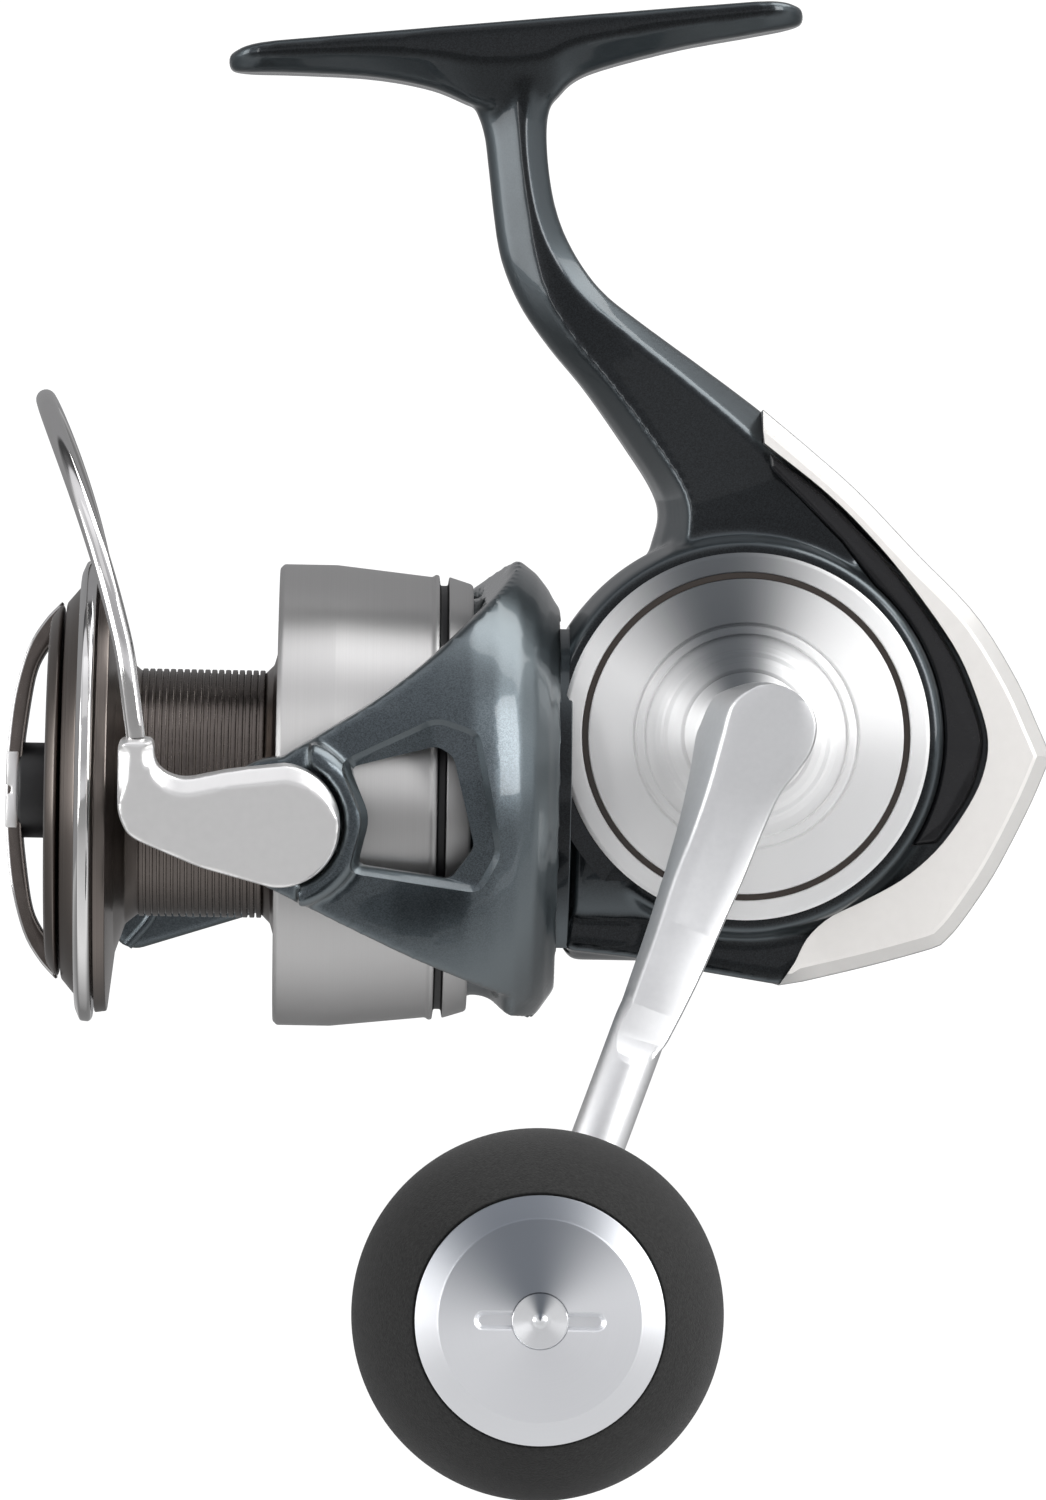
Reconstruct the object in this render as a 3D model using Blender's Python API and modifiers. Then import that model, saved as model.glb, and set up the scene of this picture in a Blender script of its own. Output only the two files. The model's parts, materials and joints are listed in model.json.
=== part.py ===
"""Spinning reel: a one-piece housing on a rod foot, with a crank-driven rotor, bail, spool and drag.

Pieces are laid out in a reel frame whose X axis points to the rear along the spool axis, Y away from
the crank side and Z up, with its origin on the crank axis. One tilted empty places that frame so that
the foot's seat lies at the world origin, facing +Z.
"""
import math

import bmesh
import bpy
import numpy as np

MM = 0.001

# Clearances and facets
GAP = 0.3 * MM
RUNNING_GAP = 0.6 * MM
EDGE = 0.5 * MM
ROUND = 20
SMALL_ROUND = 12

# Layout of the axes
FOOT_TILT = math.radians(5.73)
SEAT_RISE = 83.6 * MM
SEAT_AHEAD = 28.1 * MM
AXIS_DROP = 7.62 * MM
ROTOR_REST = math.radians(6.4)

# Foot and stem
FOOT_LENGTH = 67.8 * MM
FOOT_WIDTH = 13.0 * MM
FOOT_TIP = 3.1 * MM
FOOT_ROOT = 7.6 * MM
STEM_LENGTH = 7.0 * MM
STEM_WIDTH = 9.4 * MM

# Housing
RIM_LIP = 1.55 * MM
RIM_BEVEL = 1.3 * MM
NEAR_FACE = 16.2 * MM
FAR_FACE = 16.8 * MM
NOSE_FRONT = -20.6 * MM
NOSE_RADIUS = 18.8 * MM
CAVITY_STEP = 1.6 * MM
CAVITY_FAR = 9.5 * MM
SPINE_HALF = 13.0 * MM
COLLAR_RADIUS = 14.4 * MM
COLLAR_LENGTH = 10.6 * MM

# Side plate
PLATE_RADIUS = 21.35 * MM
PLATE_LAP = 1.15 * MM
PLATE_FACE = 17.6 * MM
PLATE_BAND = 2.6 * MM
BOSS_STEP = 2.2 * MM
BOSS_RADIUS = 10.4 * MM
BOSS_FACE = 23.0 * MM

# Rear cover
COVER_HALF = 14.2 * MM
COVER_CHAMFER = 1.8 * MM
INLAY_FACE = 13.4 * MM
INLAY_THICK = 1.8 * MM

# Crank gear, a face gear, and the pinion it drives
GEAR_TEETH = 37
PINION_TEETH = 7
GEAR_INNER = 13.2 * MM
GEAR_OUTER = 16.5 * MM
PINION_PITCH = 3.9 * MM
PINION_TIP = 4.6 * MM
PINION_ROOT = 3.05 * MM
PINION_JOURNAL = 3.4 * MM
BACKLASH = 0.3 * MM
CREST = 0.13
FLANK_END = 0.36
GEAR_BACK = 9.0 * MM
HUB_RADIUS = 5.1 * MM
AXLE_RADIUS = 3.4 * MM
CRANK_SCREW = 3.0 * MM

# Cross-wind gears and slider
WIND_MODULE = 1.2 * MM
WIND_DRIVE_TEETH = 11
WIND_TEETH = 17
WIND_REACH = 14.0 * MM
WIND_NEAR = 5.0 * MM
WIND_THICK = 2.5 * MM
STROKE = 15.0 * MM
SLIDER_LENGTH = 4.4 * MM
ROD_RADIUS = 1.0 * MM
WIND_PIN = 1.1 * MM

# Main shaft and bearings
SHAFT_RADIUS = 2.0 * MM
BEARING_WIDTH = 3.8 * MM
BEARING_RING = 3.3 * MM

# Spool
SKIRT_LEAD = 10.3 * MM
SKIRT_LENGTH = 22.7 * MM
ARBOR_LENGTH = 19.5 * MM
LIP_DEPTH = 5.4 * MM
LIP_RADIUS = 27.1 * MM
LIP_WIDTH = 2.0 * MM
SKIRT_TAPER = 2.0 * MM
ARBOR_RADIUS = 14.3 * MM
SKIRT_WALL = 1.1 * MM
FLANGE = 1.9 * MM

# Drag
DRAG_WELL = 12.4 * MM
WASHER_THICK = 0.9 * MM
KNOB_BASE = 22.0 * MM
KNOB_HEIGHT = 6.8 * MM
GRIP_HALF = 4.0 * MM
GRIP_THICK = 2.5 * MM
DRAG_HUB = 5.4 * MM
RATCHET_TEETH = 18
RATCHET_RADIUS = 10.6 * MM
RATCHET_DEPTH = 1.2 * MM

# Rotor and bail
ROTOR_GAP = 0.9 * MM
CUP_WALL = 1.9 * MM
FLARE_HEIGHT = 4.8 * MM
ARM_CLEARANCE = 0.9 * MM
ARM_THICK = 3.0 * MM
ARM_TIP = 7.4 * MM
LEVER_THICK = 4.6 * MM
LEVER_END = 7.1 * MM
LEVER_REACH = 16.6 * MM
WIRE_RADIUS = 1.15 * MM
CONE_LENGTH = 5.2 * MM
BAIL_HEIGHT = 46.0 * MM
ROLLER_RADIUS = 3.6 * MM
ROLLER_WIDTH = 5.6 * MM
ROLLER_PIN = 1.0 * MM
PIVOT_RADIUS = 2.0 * MM
PIVOT_HEAD = 3.2 * MM
PIVOT_HEAD_THICK = 1.0 * MM
SPRING_TURNS = 5
SPRING_SIDES = 6
SPRING_WIRE = 0.35 * MM
SPRING_COIL = 0.7 * MM
SPRING_LENGTH = 10.0 * MM
SPRING_FLOOR = 0.7 * MM
SPRING_COVER = 1.0 * MM
ROLLER_LEAN = math.radians(17.4)
ROLLER_AHEAD = 16.0 * MM
ROLLER_DROP = 9.0 * MM
ARM_FOOT = 12.4 * MM
ARM_FOOT_AHEAD = 7.2 * MM
ARM_FOOT_BEHIND = 9.5 * MM
WIRE_STEPS = 20
WIRE_SHOULDER = 14.0 * MM

# Crank and its knob
CRANK_LENGTH = 69.7 * MM
CRANK_LEAN = math.radians(20.0)
ARM_FACE = 28.0 * MM
ARM_END_FACE = 41.5 * MM
ARM_DEPTH = 6.0 * MM
HEAD_RADIUS = 6.3 * MM
COLLAR_OUTER = 6.2 * MM
KNOB_RADIUS = 20.9 * MM
KNOB_LENGTH = 29.5 * MM
KNOB_CORE = 7.2 * MM
POST_RADIUS = 2.2 * MM
CAP_RADIUS = 13.8 * MM
CAP_THICK = 2.2 * MM
CAP_SLOT = 1.7 * MM

# Places worked out from the sizes above
RIM_RADIUS = PLATE_RADIUS + RIM_LIP
DRUM_RADIUS = RIM_RADIUS + RIM_BEVEL
PLATE_PLUG = PLATE_RADIUS - PLATE_LAP
PLATE_GROOVE = PLATE_RADIUS - PLATE_BAND
PLATE_STEP = BOSS_RADIUS + BOSS_STEP
CAVITY_RADIUS = PLATE_PLUG - CAVITY_STEP
CHIN_DROP = RIM_RADIUS * 1.262
COVER_TIP = RIM_RADIUS * 1.563
ROTOR_REAR = NOSE_FRONT - ROTOR_GAP
SKIRT_REAR = ROTOR_REAR - SKIRT_LEAD
SKIRT_FRONT = SKIRT_REAR - SKIRT_LENGTH
LIP_BACK = SKIRT_FRONT - ARBOR_LENGTH
SPOOL_FRONT = LIP_BACK - LIP_DEPTH
SKIRT_REAR_RADIUS = LIP_RADIUS - SKIRT_TAPER
CUP_RADIUS = SKIRT_REAR_RADIUS - SKIRT_WALL - RUNNING_GAP
CUP_FRONT = SKIRT_FRONT + FLANGE + 4 * GAP
COLLAR_FRONT = NOSE_FRONT - COLLAR_LENGTH
PINION_BEARING = PINION_JOURNAL + GAP + BEARING_RING
HUB_REAR = COLLAR_FRONT - 2 * RUNNING_GAP
HUB_FRONT = HUB_REAR - 8.0 * MM
NUT_FRONT = HUB_FRONT - 3.6 * MM
WEB_REAR = HUB_FRONT + 3.2 * MM
ARM_INNER = LIP_RADIUS + ARM_CLEARANCE
ARM_OUTER = ARM_INNER + ARM_THICK
PIVOT_PLACE = SKIRT_FRONT + EDGE
LEVER_INNER = ARM_OUTER + GAP
LEVER_MID = LEVER_INNER + LEVER_THICK / 2
WIND_RADIUS = WIND_MODULE * WIND_TEETH / 2
WIND_DRIVE_RADIUS = WIND_MODULE * WIND_DRIVE_TEETH / 2
WIND_DROP = math.sqrt((WIND_RADIUS + WIND_DRIVE_RADIUS) ** 2 - WIND_REACH ** 2)
WIND_TIP = WIND_RADIUS + 0.8 * WIND_MODULE
SLIDER_REST = WIND_REACH + STROKE / 2
SHAFT_REAR = SLIDER_REST + SLIDER_LENGTH / 2
SLIDER_LOW = -WIND_DROP - STROKE / 2 - 2.2 * MM
SLIDER_HIGH = -WIND_DROP + STROKE / 2 + 2.2 * MM
GEAR_MID = (GEAR_INNER + GEAR_OUTER) / 2
GEAR_ROOT = PINION_TIP + GAP
GEAR_TIP = PINION_ROOT + GAP
DRIVE_BEARING = HUB_RADIUS + GAP + BEARING_RING
FAR_BEARING = AXLE_RADIUS + GAP + BEARING_RING
FAR_CAP = FAR_BEARING + 1.4 * MM
WELL_FLOOR = SPOOL_FRONT + 8.8 * MM
KNOB_START = ARM_END_FACE + ARM_DEPTH + 2.5 * MM
KNOB_END = KNOB_START + KNOB_LENGTH
ROD_DROP = AXIS_DROP + 7.0 * MM
ROD_SIDE = 2.4 * MM

# Finishes as colour, metallic value and roughness
SLATE = ((0.055, 0.068, 0.085), 0.7, 0.28)
PEARL = ((0.62, 0.63, 0.64), 0.6, 0.35)
GLOSS_BLACK = ((0.008, 0.008, 0.009), 0.0, 0.12)
TURNED = ((0.66, 0.67, 0.68), 1.0, 0.25)
SATIN = ((0.58, 0.59, 0.60), 1.0, 0.32)
CHROME = ((0.80, 0.81, 0.82), 1.0, 0.07)
DARK = ((0.030, 0.025, 0.022), 0.8, 0.30)
STEEL = ((0.55, 0.55, 0.56), 1.0, 0.25)
BRASS = ((0.60, 0.44, 0.18), 1.0, 0.30)
FOAM = ((0.012, 0.012, 0.012), 0.0, 0.90)
CARBON = ((0.020, 0.020, 0.022), 0.0, 0.60)
NYLON = ((0.030, 0.030, 0.030), 0.0, 0.50)

for old in list(bpy.data.objects):
    bpy.data.objects.remove(old, do_unlink=True)

REEL = bpy.data.collections.new("spinning_reel")
CUTTERS = bpy.data.collections.new("cutters")
bpy.context.scene.collection.children.link(REEL)
bpy.context.scene.collection.children.link(CUTTERS)


def frame(name, parent=None, place=(0, 0, 0), turn=(0, 0, 0)):
    """An empty that carries the pieces of one frame."""
    empty = bpy.data.objects.new(name, None)
    REEL.objects.link(empty)
    empty.parent = parent
    empty.location = place
    empty.rotation_euler = turn
    return empty


def add(name, mesh, parent, finish, place=(0, 0, 0), turn=(0, 0, 0)):
    """Put a mesh in the model as a named piece, or as a construction shape where finish is None."""
    piece = bpy.data.objects.new(name, mesh)
    piece.parent = parent
    piece.location = place
    piece.rotation_euler = turn
    if finish is None:
        CUTTERS.objects.link(piece)
        piece.hide_render = True
        piece.display_type = "WIRE"
        return piece
    REEL.objects.link(piece)
    colour, metallic, roughness = finish
    material = bpy.data.materials.new(name)
    material.use_nodes = True
    shader = material.node_tree.nodes["Principled BSDF"]
    shader.inputs["Base Color"].default_value = (*colour, 1)
    shader.inputs["Metallic"].default_value = metallic
    shader.inputs["Roughness"].default_value = roughness
    mesh.materials.append(material)
    return piece


def turned(name, profile, parent, axis, finish, steps=SMALL_ROUND, place=(0, 0, 0)):
    """Turn (place along the axis, radius) points about the parent's X or Y axis."""
    points = [(radius, along) for along, radius in profile]
    pairs = list(zip(points, points[1:] + points[:1]))
    if sum(p[0] * q[1] - q[0] * p[1] for p, q in pairs) > 0:
        points.reverse()
    ring = min(radius for radius, _ in points) > 0
    bm = bmesh.new()
    verts = [bm.verts.new((radius, 0, along)) for radius, along in points]
    for first, second in zip(verts, verts[1:] + verts[:1] if ring else verts[1:]):
        bm.edges.new((first, second))
    mesh = bpy.data.meshes.new(name)
    bm.to_mesh(mesh)
    bm.free()
    turn = (0, math.pi / 2, 0) if axis == "X" else (-math.pi / 2, 0, 0)
    piece = add(name, mesh, parent, finish, place, turn)
    screw = piece.modifiers.new("turn", "SCREW")
    screw.steps = steps
    screw.render_steps = steps
    screw.use_merge_vertices = True
    screw.merge_threshold = 1e-6
    return piece


def ring(name, start, end, inner, outer, parent, axis, finish, steps=SMALL_ROUND, place=(0, 0, 0)):
    """A plain turned ring."""
    profile = [(start, inner), (start, outer), (end, outer), (end, inner)]
    return turned(name, profile, parent, axis, finish, steps, place)


def rod(name, start, end, radius, parent, axis, finish, steps=SMALL_ROUND, place=(0, 0, 0)):
    """A plain turned cylinder."""
    low = min(start, end)
    high = max(start, end)
    return turned(name, [(low, 0), (low, radius), (high, radius), (high, 0)], parent, axis, finish,
                  steps, place)


def baked(source, name, finish, parent):
    """Make a curve object into a mesh piece with welded caps, and drop the curve."""
    bpy.context.view_layer.update()
    graph = bpy.context.evaluated_depsgraph_get()
    mesh = bpy.data.meshes.new_from_object(source.evaluated_get(graph))
    bm = bmesh.new()
    bm.from_mesh(mesh)
    bmesh.ops.remove_doubles(bm, verts=bm.verts, dist=1e-6)
    bmesh.ops.recalc_face_normals(bm, faces=bm.faces)
    bm.to_mesh(mesh)
    bm.free()
    mesh.materials.clear()
    place = tuple(source.location)
    turn = tuple(source.rotation_euler)
    curve = source.data
    bpy.data.objects.remove(source, do_unlink=True)
    bpy.data.curves.remove(curve)
    return add(name, mesh, parent, finish, place, turn)


def plate(name, outline, low, high, parent, finish, bevel=0.0):
    """A flat outline in the parent's XZ plane, from low to high along Y."""
    curve = bpy.data.curves.new(name + "_outline", "CURVE")
    curve.dimensions = "2D"
    curve.fill_mode = "BOTH"
    curve.extrude = (high - low) / 2
    spline = curve.splines.new("POLY")
    spline.points.add(len(outline) - 1)
    for point, (x, z) in zip(spline.points, outline):
        point.co = (x, z, 0, 1)
    spline.use_cyclic_u = True
    source = bpy.data.objects.new(name + "_outline", curve)
    CUTTERS.objects.link(source)
    source.location = (0, (low + high) / 2, 0)
    source.rotation_euler = (math.pi / 2, 0, 0)
    piece = baked(source, name, finish, parent)
    if bevel:
        soften(piece, bevel)
    return piece


def tube(name, points, radius, parent, finish, sides=2):
    """A round wire through points in the parent's frame."""
    curve = bpy.data.curves.new(name + "_path", "CURVE")
    curve.dimensions = "3D"
    curve.bevel_depth = radius
    curve.bevel_resolution = sides
    curve.use_fill_caps = True
    spline = curve.splines.new("POLY")
    spline.points.add(len(points) - 1)
    for point, place in zip(spline.points, points):
        point.co = (*place, 1)
    source = bpy.data.objects.new(name + "_path", curve)
    CUTTERS.objects.link(source)
    return baked(source, name, finish, parent)


def loft(name, sections, parent, finish, place=(0, 0, 0), turn=(0, 0, 0)):
    """Skin a row of sections that have the same number of points."""
    bm = bmesh.new()
    rows = [[bm.verts.new(point) for point in section] for section in sections]
    for lower, upper in zip(rows, rows[1:]):
        for i in range(len(lower)):
            j = (i + 1) % len(lower)
            bm.faces.new((lower[i], lower[j], upper[j], upper[i]))
    bm.faces.new(rows[0][::-1])
    bm.faces.new(rows[-1])
    bmesh.ops.recalc_face_normals(bm, faces=bm.faces)
    mesh = bpy.data.meshes.new(name)
    bm.to_mesh(mesh)
    bm.free()
    return add(name, mesh, parent, finish, place, turn)


def soften(piece, width, segments=1):
    """Bevel a piece's sharp edges."""
    bevel = piece.modifiers.new("soften", "BEVEL")
    bevel.width = width
    bevel.segments = segments
    bevel.limit_method = "ANGLE"
    bevel.angle_limit = math.radians(40)
    return piece


def combine(piece, operation, *others):
    """Join, cut or trim a piece with construction shapes."""
    for other in others:
        step = piece.modifiers.new(other.name, "BOOLEAN")
        step.operation = operation
        step.object = other
        step.solver = "MANIFOLD"
    return piece


def arc(x, z, radius, start, end, count):
    """Points of a circle in a plane, by degrees."""
    angles = [math.radians(start + (end - start) * i / count) for i in range(count + 1)]
    return [(x + radius * math.cos(a), z + radius * math.sin(a)) for a in angles]


def grown(outline, distance):
    """A closed outline pushed outwards by a distance."""
    area = sum(p[0] * q[1] - q[0] * p[1] for p, q in zip(outline, outline[1:] + outline[:1]))
    side = math.copysign(1, area)
    count = len(outline)
    out = []
    for i, (x, z) in enumerate(outline):
        before = outline[i - 1]
        after = outline[(i + 1) % count]
        first = np.array([x - before[0], z - before[1]])
        second = np.array([after[0] - x, after[1] - z])
        first /= np.linalg.norm(first)
        second /= np.linalg.norm(second)
        normal = side * np.array([first[1] + second[1], -first[0] - second[0]])
        normal /= np.linalg.norm(normal)
        reach = distance / max(0.2, normal @ (side * np.array([first[1], -first[0]])))
        out.append((x + normal[0] * reach, z + normal[1] * reach))
    return out


def bearing(name, start, inner, parent, axis):
    """A ball bearing drawn as its rings, with the shield sunk between them on one side."""
    end = start + BEARING_WIDTH
    outer = inner + BEARING_RING
    land = BEARING_RING * 0.28
    profile = [(start, inner), (start + EDGE, inner + land), (start + EDGE, outer - land),
               (start, outer), (end, outer), (end, inner)]
    return turned(name, profile, parent, axis, STEEL)


def spur_outline(teeth, module, phase=0.0):
    """A spur gear's outline: four points a tooth, thinned for backlash."""
    pitch = module * teeth / 2
    step = 2 * math.pi / teeth
    root = pitch - 1.1 * module
    tip = pitch + 0.75 * module
    shape = [(-0.29, root), (-0.12, tip), (0.12, tip), (0.29, root)]
    return [(radius * math.cos(phase + step * (tooth + part)),
             radius * math.sin(phase + step * (tooth + part)))
            for tooth in range(teeth) for part, radius in shape]


reel = frame("reel_frame", turn=(0, FOOT_TILT, 0))
reel.location = (SEAT_AHEAD * math.cos(FOOT_TILT) - SEAT_RISE * math.sin(FOOT_TILT), 0,
                 -SEAT_AHEAD * math.sin(FOOT_TILT) - SEAT_RISE * math.cos(FOOT_TILT))
spool_line = frame("spool_line", reel, (0, 0, -AXIS_DROP))
crank_joint = frame("crank_joint", reel)
rotor_joint = frame("rotor_joint", spool_line, turn=(ROTOR_REST, 0, 0))
bail_joint = frame("bail_joint", rotor_joint, (PIVOT_PLACE, 0, 0))
slide_joint = frame("slide_joint", spool_line)
spool_joint = frame("spool_joint", slide_joint)
drag_joint = frame("drag_joint", slide_joint)
wind_joint = frame("wind_joint", reel, (WIND_REACH, 0, -WIND_DROP))
knob_joint = frame("knob_joint", crank_joint, (-CRANK_LENGTH * math.sin(CRANK_LEAN), 0,
                                               -CRANK_LENGTH * math.cos(CRANK_LEAN)))

def by_rim(shares):
    """Points of a side outline given as shares of the rim's radius."""
    return [(RIM_RADIUS * x, RIM_RADIUS * z) for x, z in shares]


# The rear cover's side outline: its outer edge from the neck round the tip to the chin, then its
# inner edge back
COVER_OUTER = by_rim([(0.066, 1.668), (0.568, 1.249), (1.166, 0.646), (1.376, 0.328), (1.563, -0.070),
                      (1.301, -0.646), (1.092, -0.965), (0.974, -1.061), (0.231, -1.262)])
COVER_INNER = by_rim([(0.197, -1.262), (0.341, -1.009), (0.389, -0.943), (0.825, -0.703),
                      (1.004, -0.537), (1.148, -0.323), (1.236, -0.022), (1.236, 0.044), (1.066, 0.463),
                      (0.843, 0.773), (0.397, 1.245), (0.074, 1.493)])
COVER_OUTLINE = COVER_OUTER + COVER_INNER
# The inlay fills the side between the cover's inner edge and the housing's round rim
INLAY_EDGE = by_rim([(0.432, 1.044), (0.109, 1.367), (0.100, 1.450), (0.384, 1.231), (0.825, 0.764),
                     (1.044, 0.454), (1.210, 0.044), (1.210, -0.017), (1.127, -0.314), (0.987, -0.524)])
INLAY_OUTLINE = arc(0, 0, RIM_RADIUS + GAP, -32, 53, 8) + INLAY_EDGE


def build_foot():
    """The foot: a side profile trimmed by its plan outline, with the seat at the world's Z = 0."""
    half = FOOT_LENGTH / 2
    middle = STEM_LENGTH / 2
    side = [(-half + FOOT_TIP / 2, 0), (-half, -FOOT_TIP / 2), (-half + EDGE, -FOOT_TIP),
            (-half / 2, -FOOT_TIP - 2.0 * MM), (-middle - 5 * MM, -FOOT_ROOT),
            (middle + 5 * MM, -FOOT_ROOT), (half / 2, -FOOT_TIP - 1.6 * MM),
            (half - EDGE, -FOOT_TIP), (half, -FOOT_TIP / 2), (half - FOOT_TIP / 2, 0)]
    foot = plate("foot_side", side, -FOOT_WIDTH, FOOT_WIDTH, None, None)
    end = FOOT_WIDTH * 0.4
    plan = (arc(half - end, 0, end, -80, 80, 6) + [(0, FOOT_WIDTH / 2)]
            + arc(end - half, 0, end, 100, 260, 6) + [(0, -FOOT_WIDTH / 2)])
    trim = plate("foot_plan", plan, -2 * FOOT_ROOT, 2 * FOOT_ROOT, None, None)
    trim.rotation_euler = (0, 0, 0)
    return combine(foot, "INTERSECT", trim)


def build_stem():
    """The stem and neck: eight-sided sections from the drum up into the foot."""
    top = SEAT_RISE - FOOT_ROOT
    back = -SEAT_AHEAD + STEM_LENGTH / 2
    front = -SEAT_AHEAD - STEM_LENGTH / 2
    half = STEM_WIDTH / 2
    edges = [((-14.0, 14.0), (13.0, 15.0), 12.0), ((-10.2, 25.6), (5.4, 27.6), 11.0),
             ((-11.4, 30.0), (1.7, 33.6), 9.6), ((-16.5, 36.9), (-0.6, 39.4), 7.6),
             ((-22.6, 44.6), (-9.4, 46.1), 6.2), ((-27.6, 51.7), (-17.2, 51.9), 5.2)]
    rows = [((f[0] * MM, f[1] * MM), (b[0] * MM, b[1] * MM), depth * MM) for f, b, depth in edges]
    rows += [((front + 2.2 * MM, top - 18.0 * MM), (back + 3.4 * MM, top - 18.2 * MM), half),
             ((front + 0.9 * MM, top - 11.0 * MM), (back + 0.9 * MM, top - 10.6 * MM), half),
             ((front + 0.4 * MM, top - 5.0 * MM), (back + 0.4 * MM, top - 4.6 * MM), half),
             ((front - 2.2 * MM, top - 1.0 * MM), (back + 2.4 * MM, top - 0.4 * MM), half + 1.2 * MM),
             ((front - 6.5 * MM, top + 1.2 * MM), (back + 7.0 * MM, top + 2.4 * MM), half + 1.6 * MM),
             ((front - 5.0 * MM, top + 3.0 * MM), (back + 5.0 * MM, top + 4.0 * MM), half + 1.2 * MM)]
    sections = []
    for fore, aft, depth in rows:
        fore, aft = np.array(fore), np.array(aft)
        ring_points = [(0.0, -0.4), (0.22, -1.0), (0.78, -1.0), (1.0, -0.4),
                       (1.0, 0.4), (0.78, 1.0), (0.22, 1.0), (0.0, 0.4)]
        section = [(*(fore + (aft - fore) * along), depth * across) for along, across in ring_points]
        sections.append([(x, y, z) for x, z, y in section])
    return loft("stem_form", sections, reel, None)


def build_housing():
    """The one-piece housing with its stem and foot, its gear room and its bearing seats."""
    drum = turned("body_frame", [(-NEAR_FACE, 0), (-NEAR_FACE, RIM_RADIUS - 1.2 * MM),
                                 (-NEAR_FACE + 0.9 * MM, RIM_RADIUS),
                                 (-NEAR_FACE + 6.0 * MM, DRUM_RADIUS), (8.0 * MM, DRUM_RADIUS),
                                 (FAR_FACE - 4.3 * MM, DRUM_RADIUS - 2.2 * MM),
                                 (FAR_FACE - 1.3 * MM, DRUM_RADIUS - 7.2 * MM),
                                 (FAR_FACE, FAR_BEARING + 4.0 * MM), (FAR_FACE, 0)],
                  reel, "Y", SLATE, ROUND)
    ahead = NOSE_FRONT - 2.0 * MM
    nose = turned("nose_form", [(ahead, 0), (ahead, NOSE_RADIUS), (-4.0 * MM, NOSE_RADIUS),
                                (4.0 * MM, NOSE_RADIUS - 6.0 * MM), (4.0 * MM, 0)],
                  spool_line, "X", None, ROUND)
    chin = plate("chin_form", [(ahead, -16.0 * MM), (ahead, -CHIN_DROP + 3.6 * MM),
                               (4.8 * MM, -CHIN_DROP), (RIM_RADIUS * 0.7, -RIM_RADIUS * 0.873),
                               (RIM_RADIUS * 0.35, -RIM_RADIUS * 0.437)],
                 -10.5 * MM, 10.5 * MM, reel, None, 1.6 * MM)
    spine_outline = by_rim([(-0.087, 0.960), (0.393, 1.222), (0.850, 0.786), (1.284, 0.262), (1.284, -0.349),
                            (0.893, -0.786), (0.393, -0.960), (-0.087, -0.960)])
    spine = plate("spine_form", spine_outline, -SPINE_HALF, SPINE_HALF, reel, None)
    rotor_room = rod("rotor_room", NOSE_FRONT, NOSE_FRONT - 60.0 * MM, ARM_OUTER + 2.0 * MM,
                     spool_line, "X", None, ROUND)
    cover_room = plate("cover_room", grown(COVER_OUTLINE, GAP), -COVER_HALF - GAP, COVER_HALF + GAP,
                       reel, None)
    beyond = COVER_TIP + 10.0 * MM
    rear_trim = plate("rear_trim", [(p[0] + EDGE, p[1]) for p in COVER_OUTER]
                      + [(beyond, -CHIN_DROP), (beyond, COVER_OUTER[0][1])], -40.0 * MM, 40.0 * MM, reel,
                      None)
    combine(drum, "UNION", nose, chin, spine)
    combine(drum, "DIFFERENCE", rotor_room)
    combine(drum, "UNION", build_stem(), build_foot())
    combine(drum, "DIFFERENCE", cover_room, rear_trim)
    for side in (-1, 1):
        low, high = sorted((side * (INLAY_FACE - INLAY_THICK - GAP), side * (INLAY_FACE + 8.0 * MM)))
        room = plate(f"inlay_room_{'near' if side < 0 else 'far'}", grown(INLAY_OUTLINE, GAP), low, high,
                     reel, None)
        combine(drum, "DIFFERENCE", room)
    collar = ring("collar_form", NOSE_FRONT + 1.0 * MM, COLLAR_FRONT, PINION_BEARING,
                  COLLAR_RADIUS, spool_line, "X", None, ROUND)
    combine(drum, "UNION", collar)
    carve_housing(drum)
    return drum


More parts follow.
